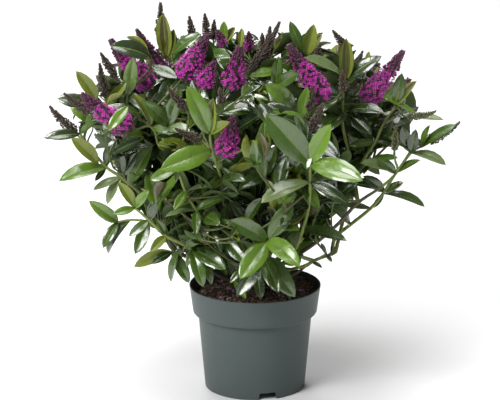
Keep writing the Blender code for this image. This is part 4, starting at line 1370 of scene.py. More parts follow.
def walk_back(line, distance):
    """The point at a distance back from a line's end, and the line's direction there."""
    left = distance
    for step in range(len(line) - 1, 0, -1):
        span = (line[step] - line[step - 1]).length
        if left <= span:
            along = (line[step] - line[step - 1]).normalized()
            return line[step] - along * left, along
        left -= span
    return None, None


def cut_back(line, distance):
    """A line without the last part of this length."""
    if distance <= 0.0:
        return line
    left = distance
    for step in range(len(line) - 1, 0, -1):
        span = (line[step] - line[step - 1]).length
        if left < span:
            return line[:step] + [line[step].lerp(line[step - 1], left / span)]
        left -= span
    return line[:2]


def line_length(line):
    """The length along a line's points."""
    return sum((after - before).length for before, after in zip(line, line[1:]))


def leaf_directions(along, side, angle):
    """The way a leaf points and the way its upper face looks."""
    lean = math.radians(angle)
    points = (along * math.cos(lean) + side * math.sin(lean)).normalized()
    face = along * math.sin(lean) - side * math.cos(lean)
    light = UP - points * UP.dot(points)
    return points, (face + light * LEAF_LIGHT_TURN).normalized()


def has_room(point):
    """Whether a point keeps inside the crown's box and off the pot and the soil."""
    low, high = CAD_BOX
    for axis in (0, 1):
        if not low[axis] - BOX_SPARE < point[axis] < high[axis] + BOX_SPARE:
            return False
    if point.z > high.z - TOP_SPARE:
        return False
    reach = math.hypot(point.x, point.y)
    if point.z > POT_HEIGHT + POT_SPARE or reach > RIM_RADIUS + POT_SPARE:
        return True
    return reach < RIM_RADIUS - WALL - POT_SPARE and point.z > SOIL_LEVEL + POT_SPARE


class Crown:
    """Everything that grows: lines of twigs, leaves by tier, and spikes."""

    def __init__(self):
        self.masses = [Mass(tier, number) for tier in TIERS for number in range(tier[1])]
        self.twigs = []
        self.leaves = {tier[0]: [] for tier in TIERS}
        self.spikes = []
        self.stems = []
        self.sight = Sight()
        self.clear = Clearance()
        shown = show_shoots(SHOW_SPIKES, SHOW_FIRST_SEED)
        more = show_shoots(MORE_SPIKES, SHOW_FIRST_SEED + len(SHOW_SPIKES))
        shoots = shown + ruled_shoots(shown) + more + fill_shoots()
        for shoot in shoots:
            if shoot.seed < SHOW_FIRST_SEED:
                shoot.tip = pulled_in(shoot)
            if shoot.spike:
                self.keep_spike(shoot)
        self.add_show_leaves()
        for mass in self.masses:
            self.twigs.append((mass.stem, TWIG_RADII["stem"], TWIG_WOODY))
            for shoot in shoots:
                nearest = min(self.masses, key=lambda other: (other.site - shoot.middle()).length)
                if nearest is mass:
                    self.add_shoot(mass, shoot)

    def keep_spike(self, shoot):
        """Keep a spike clear of leaves, and one that shows at the front in view."""
        radius = SPIKE_SIGHT[shoot.kind]
        for step in range(LINE_STEPS + 1):
            share = step / LINE_STEPS
            spot = shoot.tip + shoot.heading * shoot.spike * share
            self.clear.keep(spot, radius * (1.0 - share * SPIKE_CLEAR_TAPER))
            if shoot.seed >= SHOW_FIRST_SEED:
                self.sight.keep(spot, radius * (1.0 - share * SPIKE_SIGHT_TAPER))

    def add_show_leaves(self):
        """The stems and the leaves that show at the front, on twigs from the masses' stems."""
        feet = set()
        loose = []
        for stem in SHOW_STEMS:
            points = [spot_at(row[:2], row[2]) for row in stem]
            feet.update(row[:2] for row in stem)
            foot = self.nearest_mass(points[0]).nearest_on_stem(points[0])
            line = smooth_line([foot, *points], SHOW_STEM_STEPS)
            shown = line[SHOW_STEM_STEPS:]
            self.stems.append(shown)
            share = min(1.0, SHOW_THINNEST + line_length(line) / SHOW_FULL_LENGTH)
            self.twigs.append((line, [radius * share for radius in TWIG_RADII["show"]], TWIG_GREEN))
            for point in shown:
                self.sight.keep(point, SIGHT_CELL)
        rows = [(foot, back, *leaf) for foot, back, *leaves in SHOW_LEAVES for leaf in leaves]
        for number, (foot, foot_back, tip, tip_back, turn, tone) in enumerate(rows):
            start, end = spot_at(foot, foot_back), spot_at(tip, tip_back)
            mass = self.nearest_mass(start)
            if foot not in feet:
                feet.add(foot)
                heading = (start - UP * SPRAY_FOOT_HEIGHT).normalized().lerp(UP, SPRAY_TURN_UP)
                loose.append((mass, Shoot(start, heading.normalized(), LEAFY_FIRST_SEED + number)))
            dice = Random(LEAFY_FIRST_SEED + number)
            pick = dice.randrange(LEAF_VARIANTS)
            if tone in ("young", "bronze"):
                pick = LEAF_VARIANTS + dice.randrange(YOUNG_VARIANTS)
            self.add_show_leaf(mass, start, end, turn, pick, LEAF_TONES.index(tone))
        for mass, shoot in loose:
            self.twigs.append((self.best_line(mass, shoot)[1], TWIG_RADII["side"], TWIG_SHADED))

    def best_line(self, mass, shoot):
        """How many points of a shoot's line hide what shows, and the line that hides least."""
        if shoot.seed >= SHOW_FIRST_SEED:
            line = self.branch_line(shoot)
            if line:
                return 0, line
        best = None
        for bend in SHOOT_BENDS:
            line = mass.shoot_line(shoot, bend)
            if all(has_room(point) for point in line[1:]):
                tries = [before.lerp(after, share) for before, after in zip(line[:-2], line[1:-1])
                         for share in LINE_TRIALS]
                count = sum(self.sight.hides(point) for point in tries)
                if best is None or count < best[0]:
                    best = (count, line)
        return best or (LINE_STEPS * len(LINE_TRIALS), mass.shoot_line(shoot, SHOOT_BENDS[-1]))

    def branch_line(self, shoot):
        """A line to a shown shoot's tip from a shown stem close below it, if there is one."""
        best = None
        for stem in self.stems:
            for before, point in zip(stem, stem[1:]):
                gap = shoot.tip - point
                near = BRANCH_SHORTEST < gap.length < BRANCH_LONGEST
                if near and gap.normalized().dot(shoot.heading) > BRANCH_LEAST_FACING:
                    if best is None or gap.length < best[0]:
                        best = (gap.length, point, (point - before).normalized())
        if best is None:
            return None
        length, foot, along = best
        start_pull = foot + along * length * BRANCH_START_PULL
        end_pull = shoot.tip - shoot.heading * length * BRANCH_END_PULL
        return bezier(foot, start_pull, end_pull, shoot.tip, LINE_STEPS)

    def nearest_mass(self, point):
        """The mass whose middle is nearest to a point."""
        return min(self.masses, key=lambda mass: (mass.site - point).length)

    def add_show_leaf(self, mass, start, end, turn, pick, tone):
        """A leaf from foot to tip, turned so that its bend ends at the tip."""
        droop = LEAF_FORMS[pick][0]
        chord = Vector((math.sin(droop) / droop, -(1.0 - math.cos(droop)) / droop))
        span = (end - start).length
        along = (end - start).normalized()
        wish = UP.lerp((EYE - start).normalized(), turn)
        face = (wish - along * wish.dot(along)).normalized()
        rise = -math.atan2(chord.y, chord.x)
        points = along * math.cos(rise) + face * math.sin(rise)
        face = face * math.cos(rise) - along * math.sin(rise)
        quaternion = Matrix((points, face.cross(points), face)).transposed().to_quaternion()
        size = span / chord.length
        self.leaves[mass.tier].append((start, quaternion, size, pick, tone))
        for share in SHOW_LEAF_TRIALS:
            radius = size * LEAF_WIDTH_SHARE * SHOW_LEAF_SIGHT * leaf_width(share)
            self.sight.keep(start.lerp(end, share), radius)

    def add_shoot(self, mass, shoot):
        """A shoot with its leaves, its spike and its side shoots, cut where it ends bare."""
        hidden, line = self.best_line(mass, shoot)
        if hidden > SHOOT_MOST_HIDING and shoot.seed < SHOW_FIRST_SEED:
            return
        dice = Random(shoot.seed * SHOOT_SEED_STEP + SHOOT_SEED_START)
        whole = line_length(line)
        if shoot.spike:
            self.spikes.append((shoot.tip, shoot.heading, shoot.spike, shoot.kind))
        bare = self.add_leaves(mass, line, dice, bool(shoot.spike), 0 if shoot.spike else SHOOT_FEWEST_LEAVES)
        needed = whole if shoot.spike else whole - bare
        for place in SIDE_SHOOT_PLACES:
            foot, along = walk_back(line, whole * (1.0 - place))
            first, second = square_to(along)
            turn = dice.random() * math.tau
            side = first * math.cos(turn) + second * math.sin(turn)
            lean = math.radians(SIDE_SHOOT_LEAN)
            heading = (along * math.cos(lean) + side * math.sin(lean)).lerp(UP, SIDE_SHOOT_LIFT).normalized()
            length = dice.uniform(*SIDE_SHOOT_LENGTHS)
            tip = foot + (along * SIDE_SHOOT_ALONG + heading * SIDE_SHOOT_OUT).normalized() * length
            pull = length * SIDE_SHOOT_PULL
            twig = bezier(foot, foot + along * pull, tip - heading * pull, tip, LINE_STEPS)
            if has_room(tip) and in_outline(tip):
                side_whole = line_length(twig)
                bare = self.add_leaves(mass, twig, dice, False, SIDE_FEWEST_LEAVES)
                if bare < side_whole:
                    self.twigs.append((cut_back(twig, bare), TWIG_RADII["side"], TWIG_SHADED))
                    needed = max(needed, whole * place)
        if needed > 0.0:
            self.twigs.append((cut_back(line, whole - needed), TWIG_RADII["shoot"], TWIG_SHADED))

    def add_leaves(self, mass, line, dice, has_spike, fewest):
        """Crossed pairs of leaves down from a shoot's tip, and how much of it stays bare.

        With fewer leaves than the fewest, none are kept.
        """
        before = len(self.leaves[mass.tier])
        turn = dice.random() * math.pi
        chance = dice.random()
        tone = sum(chance > limit for limit in LEAF_TONE_CHANCES)
        chance = dice.random()
        young = LEAF_TONES.index("bronze" if chance < BRONZE_CHANCE else "young")
        is_young = not has_spike and chance < YOUNG_CHANCE
        whole = line_length(line)
        bare = whole
        for number, (back, length, angle) in enumerate(LEAF_NODES):
            roll = turn + number * math.pi / 2 + dice.uniform(-LEAF_ROLL_SPREAD, LEAF_ROLL_SPREAD)
            if has_spike:
                if number < LEAF_SPIKE_SKIPS:
                    continue
                back += LEAF_SPIKE_DROP
                angle += LEAF_SPIKE_LEAN
            if back > whole - LEAF_FOOT_BARE:
                break
            point, along = walk_back(line, back)
            first, second = square_to(along)
            for half in (0.0, math.pi):
                side = first * math.cos(roll + half) + second * math.sin(roll + half)
                lean = angle + dice.uniform(-LEAF_ANGLE_SPREAD, LEAF_ANGLE_SPREAD)
                size = length * dice.uniform(*LEAF_SIZES)
                pick = dice.randrange(LEAF_VARIANTS)
                shade = tone
                if is_young and number < LEAF_YOUNG_NODES:
                    pick = LEAF_VARIANTS + dice.randrange(YOUNG_VARIANTS)
                    shade = young
                if self.add_leaf(mass, point, leaf_directions(along, side, lean), size, pick, shade):
                    bare = min(bare, back)
        if len(self.leaves[mass.tier]) - before < fewest:
            del self.leaves[mass.tier][before:]
            return whole
        return bare

    def add_leaf(self, mass, point, directions, size, pick, tone):
        """A leaf, unless it would leave the crown's room or hide what stays in view.

        Says whether the leaf was made.
        """
        points, face = directions
        face = (face - points * face.dot(points)).normalized()
        across = face.cross(points)
        half = size * LEAF_WIDTH_SHARE / 2
        for share, drop, side in LEAF_TRIALS:
            spot = point + points * size * share - face * size * drop + across * half * side
            taken = self.sight.hides(spot) or self.clear.touches(spot)
            if taken or not has_room(spot) or not in_outline(spot):
                return False
        turn = Matrix((points, across, face)).transposed().to_quaternion()
        self.leaves[mass.tier].append((point, turn, size, pick, tone))
        return True


def leaf_width(t):
    """Half the leaf's width at a share of its length, 1 at the widest."""
    foot, tip = LEAF_FOOT_POWER, LEAF_TIP_POWER
    widest = foot / (foot + tip)
    return (t ** foot * (1.0 - t) ** tip) / (widest ** foot * (1.0 - widest) ** tip)


def leaf_shape(name, droop, fold, puff, twist):
    """A leaf one unit long along X that looks up Z, as a closed thin shell."""
    points, faces, parts = [], [], []
    half = LEAF_WIDTH_SHARE / 2
    columns = len(LEAF_COLUMNS)

    def centre(t):
        bend = droop * t
        return Vector((math.sin(bend) / droop, 0.0, -(1.0 - math.cos(bend)) / droop)), bend

    for t in LEAF_RINGS:
        middle, bend = centre(t)
        wide = max(half * leaf_width(t), PETIOLE_HALF_WIDTH)
        turn = Matrix.Rotation(bend, 3, "Y") @ Matrix.Rotation(twist * t, 3, "X")
        for share in LEAF_COLUMNS:
            rise = fold * abs(share) + puff * math.sin(math.pi * abs(share))
            if abs(share) < LEAF_RIB_EDGE:
                rise -= LEAF_RIB_DROP
            points.append(middle + turn @ Vector((0.0, share * wide, rise * wide)))
        points.append(middle + turn @ Vector((0.0, 0.0, -LEAF_THICKNESS - LEAF_KEEL * wide)))
    ring = columns + 1
    for row in range(len(LEAF_RINGS) - 1):
        near, far = row * ring, (row + 1) * ring
        for column in range(ring):
            ahead = (column + 1) % ring
            faces.append([near + column, near + ahead, far + ahead, far + column])
            parts.append(LEAF_PARTS[column])
    faces.append(list(range(ring)))
    parts.append(PART_UNDER)
    points.append(centre(1.0)[0])
    last = (len(LEAF_RINGS) - 1) * ring
    for column in range(ring):
        faces.append([last + column, last + (column + 1) % ring, len(points) - 1])
        parts.append(LEAF_PARTS[column])
    shape = shape_of(name, points, faces, parts)
    mesh = shape.data
    mesh.shade_smooth()
    margins = {(row * ring + edge) for row in range(len(LEAF_RINGS)) for edge in (0, columns - 1)}
    margins.add(len(points) - 1)
    sharp = [edge.vertices[0] in margins and edge.vertices[1] in margins for edge in mesh.edges]
    layer = mesh.attributes.new("sharp_edge", "BOOLEAN", "EDGE")
    layer.data.foreach_set("value", sharp)
    return shape


def leaf_rule(finishes):
    """A leaf on each point, by the point's own turn, size and pick."""
    rule = Rule("leaves on shoots")
    shapes = rule.input("Shapes", "Collection")
    size = rule.input("Size", "Float", 1.0)
    spread = rule.input("Width spread", "Float", 0.12)
    seed = rule.input("Seed", "Int", 0)
    wide = rule.random(0.0, 1.0, seed)
    scale = rule.attribute("size") * size
    width = scale * (1.0 + (wide - 0.5) * 2.0 * spread)
    vector = rule.node("ShaderNodeCombineXYZ", None, {"X": scale, "Y": width, "Z": scale})
    pick, turn = rule.attribute("pick", "INT"), rule.attribute("turn", "QUATERNION")
    rule.instance(shapes, pick, turn, vector, finishes)
    return rule


def limb_rule(finishes):
    """A round limb along each line, with relief across its surface."""
    rule = Rule("limbs along lines")
    sides = rule.input("Sides", "Int", 8)
    depth = rule.input("Relief depth", "Float", 0.0)
    grain = rule.input("Relief scale", "Float", 300.0)
    rule.step("GeometryNodeMeshToCurve")
    profile = rule.node("GeometryNodeCurvePrimitiveCircle", None, {"Resolution": sides, "Radius": 1.0})
    inputs = {"Profile Curve": profile, "Scale": rule.attribute("radius"), "Fill Caps": True}
    rule.step("GeometryNodeCurveToMesh", None, inputs)
    spot = rule.node("GeometryNodeInputPosition")
    lumps = rule.node("ShaderNodeTexNoise", None, {"Vector": spot, "Scale": grain, "Detail": 3.0})
    out = rule.node("GeometryNodeInputNormal")
    rule.step("GeometryNodeSetPosition", None, {"Offset": rule.scaled(out, (lumps - 0.5) * depth)})
    rule.step("GeometryNodeSetShadeSmooth", None, {"Shade Smooth": True})
    rule.close(finishes)
    return rule


def spiral_rule(finishes):
    """Florets in a golden spiral round each spike's line, with closed buds at its tip."""
    rule = Rule("florets round spikes")
    shapes = rule.input("Shapes", "Collection")
    spacing = rule.input("Spacing", "Float", 0.0008)
    size = rule.input("Floret size", "Float", 0.005)
    open_share = rule.input("Open share", "Float", 0.8)
    seed = rule.input("Seed", "Int", 0)
    rule.step("GeometryNodeMeshToCurve")
    rule.step("GeometryNodeResampleCurve", {"mode": "LENGTH"}, {"Length": spacing})
    along = rule.node("GeometryNodeSplineParameter", output="Factor")
    rule.step("GeometryNodeStoreNamedAttribute", {"data_type": "FLOAT", "domain": "POINT"},
              {"Name": "along", "Value": along})
    turn = rule.scatter("GeometryNodeCurveToPoints", {"mode": "EVALUATED"}, {"Curve": rule.geometry})
    way = rule.attribute("along")
    number = rule.node("GeometryNodeInputIndex")
    jitter = rule.random(-1.0, 1.0, seed)
    other = rule.random(-1.0, 1.0, seed + OTHER_SEED)
    spun = rule.rotated(turn, (0.0, 0.0, 1.0), number * GOLDEN_TURN + jitter * FLORET_SPIN_SPREAD)
    lift = way ** 2.0 * FLORET_TIP_LIFT + FLORET_LIFT + other * FLORET_LIFT_SPREAD
    tilted = rule.rotated(spun, (0.0, 1.0, 0.0), math.pi / 2 - lift)
    outward = rule.node("FunctionNodeRotateVector", None, {"Vector": (1.0, 0.0, 0.0), "Rotation": spun})
    reach = rule.attribute("fullness") * (1.0 + other * FLORET_REACH_SPREAD)
    rule.step("GeometryNodeSetPosition", None, {"Offset": rule.scaled(outward, reach)})
    closed = way + jitter * FLORET_OPEN_SPREAD > open_share
    low, high = FLORET_FORM_LIMITS
    form = (jitter > low) + (jitter > high)
    pick = closed * float(len(FLORET_FORMS)) + (1.0 - closed) * form
    scale = size * (1.0 - way ** 3.0 * FLORET_TIP_SHRINK) * (1.0 + other * FLORET_SIZE_SPREAD)
    rule.instance(shapes, pick, tilted, scale, finishes)
    return rule


def litter_rule(finishes):
    """Small shapes on the faces that look up, turned and sized at random."""
    rule = Rule("litter on soil")
    shapes = rule.input("Shapes", "Collection")
    density = rule.input("Density", "Float", 20000.0)
    size = rule.input("Size", "Float", 0.002)
    kinds = rule.input("Kinds", "Int", 3)
    clear = rule.input("Clear radius", "Float", 0.016)
    seed = rule.input("Seed", "Int", 0)
    normal = rule.node("GeometryNodeInputNormal")
    face_up = rule.node("ShaderNodeSeparateXYZ", None, {"Vector": normal}, 2)
    spot = rule.node("GeometryNodeInputPosition")
    height = rule.node("ShaderNodeSeparateXYZ", None, {"Vector": spot}, 2)
    flat = rule.node("ShaderNodeVectorMath", {"operation": "MULTIPLY"}, {0: spot, 1: (1.0, 1.0, 0.0)})
    reach = rule.node("ShaderNodeVectorMath", {"operation": "LENGTH"}, {0: flat}, 1)
    on_top = (face_up > LITTER_LEAST_UP) * (height > POT_HEIGHT - COLLAR_HEIGHT)
    chosen = on_top * (reach > clear) * (reach < LITTER_REACH)
    inputs = {"Mesh": rule.geometry, "Selection": chosen, "Density": density, "Seed": seed}
    turn = rule.scatter("GeometryNodeDistributePointsOnFaces", None, inputs)
    spun = rule.rotated(turn, (0.0, 0.0, 1.0), rule.random(0.0, math.tau, seed))
    dice = rule.random(0.0, BELOW_ONE, seed + 1.0)
    pick = rule.node("ShaderNodeMath", {"operation": "FLOOR"}, {0: dice * kinds})
    rule.instance(shapes, pick, spun, size * rule.random(*LITTER_SIZES, seed + 2.0), finishes)
    return rule


def crumb_shape(name, stretch, seed):
    """An uneven lump one unit across that sits half sunk."""
    sheet = bmesh.new()
    bmesh.ops.create_icosphere(sheet, subdivisions=1, radius=0.5)
    dice = Random(seed)
    for corner in sheet.verts:
        corner.co *= dice.uniform(*CRUMB_CORNERS)
        corner.co = Vector([part * share for part, share in zip(corner.co, stretch)])
    mesh = bpy.data.meshes.new(name)
    sheet.to_mesh(mesh)
    sheet.free()
    add_attribute(mesh, "part", "FLOAT", "FACE", [PART_CRUMB] * len(mesh.polygons))
    return bpy.data.objects.new(name, mesh)


def fibre_shape(name, bend):
    """A bent three-sided fibre one unit long that lies on the ground."""
    points, faces = [], []
    low, high = FIBRE_LIFTS
    for step in range(FIBRE_STEPS + 1):
        along = step / FIBRE_STEPS
        arch = math.sin(math.pi * along)
        middle = Vector((along - 0.5, bend * arch, low + high * arch))
        for side in range(FIBRE_SIDES):
            turn = math.tau * side / FIBRE_SIDES
            points.append(middle + Vector((0.0, math.cos(turn), math.sin(turn))) * FIBRE_RADIUS)
    for first in range(0, FIBRE_STEPS * FIBRE_SIDES, FIBRE_SIDES):
        for side in range(FIBRE_SIDES):
            ahead = (side + 1) % FIBRE_SIDES
            above = first + FIBRE_SIDES
            faces.append([first + side, first + ahead, above + ahead, above + side])
    last = FIBRE_STEPS * FIBRE_SIDES
    faces += [list(range(FIBRE_SIDES)), list(range(last, last + FIBRE_SIDES))]
    return shape_of(name, points, faces, [PART_FIBRE] * len(faces))


def points_mesh(name, leaves):
    """A mesh of points alone, one for each leaf, with what the leaf rule reads."""
    mesh = bpy.data.meshes.new(name)
    mesh.from_pydata([tuple(leaf[0]) for leaf in leaves], [], [])
    add_attribute(mesh, "turn", "QUATERNION", "POINT", [tuple(leaf[1]) for leaf in leaves])
    add_attribute(mesh, "size", "FLOAT", "POINT", [leaf[2] for leaf in leaves])
    layer = mesh.attributes.new("pick", "INT", "POINT")
    layer.data.foreach_set("value", [leaf[3] for leaf in leaves])
    add_attribute(mesh, "tone", "FLOAT", "POINT", [leaf[4] for leaf in leaves])
    return mesh


def lines_mesh(name, lines, radius=None):
    """A mesh of edges along lines, each with its two end radii and its kind.

    Lines that carry florets also get how far these stand off, from the given radius.
    """
    points, edges, radii, kinds, full = [], [], [], [], []
    for line, (first, last), kind in lines:
        fullness = spike_fullness(radius, line_length(line)) if radius else None
        for step, point in enumerate(line):
            if step:
                edges.append((len(points) - 1, len(points)))
            share = step / (len(line) - 1)
            points.append(tuple(point))
            radii.append(first + (last - first) * share)
            kinds.append(kind)
            full.append(fullness(share) if fullness else 0.0)
    mesh = bpy.data.meshes.new(name)
    mesh.from_pydata(points, edges, [])
    add_attribute(mesh, "radius", "FLOAT", "POINT", radii)
    add_attribute(mesh, "kind", "FLOAT", "POINT", kinds)
    add_attribute(mesh, "fullness", "FLOAT", "POINT", full)
    return mesh


def add_wedge(points, faces, parts, corners, part):
    """Add a closed wedge of four corners to a shape."""
    first = len(points)
    points += corners
    for face in WEDGE_FACES:
        faces.append([first + corner for corner in face])
        parts.append(part)


def petal_corners(base, tip, across, down):
    """The corners of a folded petal between two points."""
    middle = base.lerp(tip, 0.50) - down
    return [base, tip, middle + across, middle - across]


def floret_shape(name, spread, cup):
    """An open floret one unit across that looks up Z: four petals and two stamens."""
    points, faces, parts = [], [], []
    for number in range(PETAL_COUNT):
        turn = math.tau * number / PETAL_COUNT
        out = Vector((math.cos(turn), math.sin(turn), 0.0))
        side = Vector((-math.sin(turn), math.cos(turn), 0.0))
        base = out * PETAL_FOOT + UP * PETAL_HEIGHT
        tip = out * spread + UP * (PETAL_HEIGHT + cup)
        corners = petal_corners(base, tip, side * PETAL_HALF_WIDTH, UP * PETAL_SAG)
        add_wedge(points, faces, parts, corners, PART_PETAL)
    add_wedge(points, faces, parts, [Vector(corner) for corner in THROAT_CORNERS], PART_THROAT)
    for way in (-1.0, 1.0):
        foot, head = [Vector((along, side * way, up)) for along, side, up in (STAMEN_FOOT, STAMEN_HEAD)]
        across, down = Vector((STAMEN_HALF_WIDTH, 0.0, 0.0)), Vector((0.0, STAMEN_SAG, 0.0))
        add_wedge(points, faces, parts, petal_corners(foot, head, across, down), PART_STAMEN)
    return shape_of(name, points, faces, parts)


def bud_shape(name, length, widest):
    """A closed pointed bud along Z."""
    profile = [(widest * width, foot + length * along) for width, foot, along in BUD_RINGS]
    points, faces = turned(profile, BUD_SIDES)
    shape = shape_of(name, points, faces, [PART_BUD] * len(faces))
    shape.data.shade_smooth()
    return shape


def spike_share(length):
    """How thick a spike of this length is, as a share of a full one."""
    return min(1.0, SPIKE_LEAST_SHARE + (1.0 - SPIKE_LEAST_SHARE) * length / SPIKE_FULL_LENGTH)


def spike_fullness(radius, length):
    """How far the florets stand off the spike's line at a share of its length."""
    full = radius * spike_share(length)

    def at(share):
        swell = min(1.0, SPIKE_FOOT_SHARE + share * SPIKE_FOOT_GAIN)
        return full * swell * (1.0 - share ** SPIKE_TAPER_POWER * SPIKE_TAPER)
    return at


def spike_line(spike):
    """The line of a spike, bent a little upwards."""
    tip, heading, length, _ = spike
    end = tip + heading * length
    end_pull = end - heading.lerp(UP, SPIKE_TURN_UP).normalized() * length * SPIKE_PULL
    return bezier(tip, tip + heading * length * SPIKE_PULL, end_pull, end, LINE_STEPS)


def settings():
    """The settings kept on the scene."""
    return bpy.context.scene.hebe


class HebeSettings(bpy.types.PropertyGroup):
    """Sizes and colours of the shrub."""

    leaf_size: FloatProperty(name="Leaf size", description="Scale of every leaf", default=1.0,
                             subtype="FACTOR")
    leaf_seed: IntProperty(name="Leaf seed", description="Seed of the leaves' widths", default=4)
    bark_relief: FloatProperty(name="Bark relief", description="Depth of the bark's relief", default=0.0009,
                               unit="LENGTH")
    floret_size: FloatProperty(name="Floret size", description="Width of an open floret", default=0.0056,
                               unit="LENGTH")
    spike_radius: FloatProperty(name="Spike radius", description="Radius of a spike in bloom", default=0.0138,
                                unit="LENGTH")
    soil_relief: FloatProperty(name="Soil relief", description="Depth of the peat's lumps", default=0.0042,
                               unit="LENGTH")
    crumb_density: FloatProperty(name="Crumbs", description="Crumbs to a square metre", default=60000.0)
    petal_density: FloatProperty(name="Fallen florets", description="Fallen florets to a square metre",
                                 default=1100.0)
    key_power: FloatProperty(name="Key light", description="Power of the key light", default=195.0,
                             unit="POWER")
    world_light: FloatProperty(name="World light", description="Strength of the even light", default=0.18)
    pot_colour: FloatVectorProperty(name="Pot", description="Pot plastic", default=(0.070, 0.091, 0.088),
                                    subtype="COLOR")
    peat_colour: FloatVectorProperty(name="Peat", description="Soil", default=(0.050, 0.032, 0.022),
                                     subtype="COLOR")
    bark_colour: FloatVectorProperty(name="Bark", description="Old bark", default=(0.075, 0.060, 0.038),
                                     subtype="COLOR")
    leaf_dark: FloatVectorProperty(name="Dark leaf", description="Older leaves",
                                   default=(0.019, 0.040, 0.007), subtype="COLOR")
    leaf_mid: FloatVectorProperty(name="Leaf", description="Most leaves", default=(0.050, 0.104, 0.010),
                                  subtype="COLOR")
    leaf_light: FloatVectorProperty(name="Light leaf", description="Lighter leaves",
                                    default=(0.100, 0.192, 0.013), subtype="COLOR")
    leaf_young: FloatVectorProperty(name="Young leaf", description="Leaves at the tips",
                                    default=(0.175, 0.215, 0.026), subtype="COLOR")
    leaf_under: FloatVectorProperty(name="Leaf underside", description="Matte undersides",
                                    default=(0.060, 0.095, 0.026), subtype="COLOR")
    petal_colour: FloatVectorProperty(name="Petals", description="Open florets", default=(0.50, 0.015, 0.36),
                                      subtype="COLOR")
    bud_colour: FloatVectorProperty(name="Buds", description="Closed purple buds",
                                    default=(0.080, 0.054, 0.036), subtype="COLOR")


class HEBE_OT_pot(bpy.types.Operator):
    """Make the nursery pot"""

    bl_idname = "hebe.pot"
    bl_label = "Pot"

    def execute(self, context):
        pot = link_object("nursery_pot", mesh_of("nursery_pot", *turned(pot_profile(), POT_SEGMENTS)))
        for step in range(NOTCH_COUNT):
            cut_pot(pot, *notch_shape(NOTCH_FIRST_BEARING + 360.0 * step / NOTCH_COUNT))
        for step in range(DRAIN_COUNT):
            cut_pot(pot, *drain_shape(360.0 * (step + DRAIN_TURN) / DRAIN_COUNT))
        pot.data.shade_smooth()
        pot.data.set_sharp_from_angle(angle=math.radians(POT_SMOOTH_ANGLE))
        pot.data.materials.clear()
        pot.data.materials.append(plastic_finish(settings().pot_colour))
        finish_piece(pot, "pot_plastic", "pot")
        return {"FINISHED"}


class HEBE_OT_soil(bpy.types.Operator):
    """Make the peat that fills the pot"""

    bl_idname = "hebe.soil"
    bl_label = "Soil"

    def execute(self, context):
        floor = FLOOR_UNDERSIDE + WALL + SEAT_GAP
        edge = SOIL_LEVEL - SOIL_EDGE_DROP
        widest = pot_inside_radius(edge) - SOIL_WALL_GAP
        profile = [(0.0, floor), (pot_inside_radius(floor) - SOIL_WALL_GAP, floor)]
        profile.append((BODY_TOP_RADIUS - WALL - SOIL_WALL_GAP, POT_HEIGHT - COLLAR_HEIGHT - COLLAR_STEP))
        profile.append((widest, edge - SOIL_SHOULDER))
        for ring in range(SOIL_RINGS):
            share = 1.0 - ring / SOIL_RINGS
            profile.append((widest * share, SOIL_LEVEL - SOIL_EDGE_DROP * share * share))
        profile.append((0.0, SOIL_LEVEL))
        points, faces = turned(profile, POT_SEGMENTS)
        relief = settings().soil_relief
        heap_way = polar(SOIL_HEAP_BEARING, 1.0, 0.0).to_2d()
        rough = []
        for point in points:
            spot = Vector(point)
            if spot.z > edge - SOIL_ROUGH_DEPTH:
                lumps = noise.fractal(spot * SOIL_LUMP_SCALE, *SOIL_LUMP_NOISE)
                spot.z += relief * (lumps - SOIL_LUMP_LEVEL)
                heap = max(0.0, spot.to_2d().dot(heap_way)) / widest
                spot.z += SOIL_HEAP_RISE * heap * heap
            rough.append(spot)
        soil = link_object("peat", mesh_of("peat", rough, faces))
        soil.data.shade_smooth()
        soil.data.materials.append(peat_finish(settings().peat_colour))
        finish_piece(soil, "soil", "soil")
        return {"FINISHED"}


class HEBE_OT_litter(bpy.types.Operator):
    """Scatter crumbs, fibres and fallen florets on the peat"""

    bl_idname = "hebe.litter"
    bl_label = "Crumbs and petals"

    def execute(self, context):
        mine = settings()
        ground = bpy.data.objects["peat"].data
        shapes = [crumb_shape(f"crumb_{number}", *form) for number, form in enumerate(CRUMB_FORMS)]
        for bend in FIBRE_BENDS:
            shapes.append(fibre_shape(f"crumb_{len(shapes)}", bend))
        rough = peat_finish(tint(mine.peat_colour, CRUMB_SHARE))
        fibre = petal_finish("fibres", tint(mine.peat_colour, FIBRE_SHARE), FIBRE_SHINE)
        rule = litter_rule([(rough, {"part": PART_CRUMB}), (fibre, {"part": PART_FIBRE})])
        piece = rule.grow("peat_crumbs", ground.copy(), Shapes=collection_of("crumb shapes", shapes),
                          Density=mine.crumb_density, Size=CRUMB_SIZE, Kinds=len(shapes), Seed=CRUMB_SEED)
        finish_piece(piece, "soil")
        shapes = [floret_shape(f"fallen_{number}", *form) for number, form in enumerate(FALLEN_FORMS)]
        # The fallen petals' colour carries painted light against the crown's shade over the soil
        petal = petal_finish("fallen petals", FALLEN_PINK_WITH_PAINTED_LIGHT)
        throat = petal_finish("fallen throats", tint(mine.petal_colour, FALLEN_THROAT_SHARE))
        rule = litter_rule([(petal, {}), (throat, {"part": PART_THROAT})])
        piece = rule.grow("fallen_petals", ground.copy(), Shapes=collection_of("fallen shapes", shapes),
                          Density=mine.petal_density, Size=mine.floret_size * FALLEN_SIZE_SHARE,
                          Kinds=len(shapes), Seed=FALLEN_SEED)
        finish_piece(piece, "foliage")
        return {"FINISHED"}


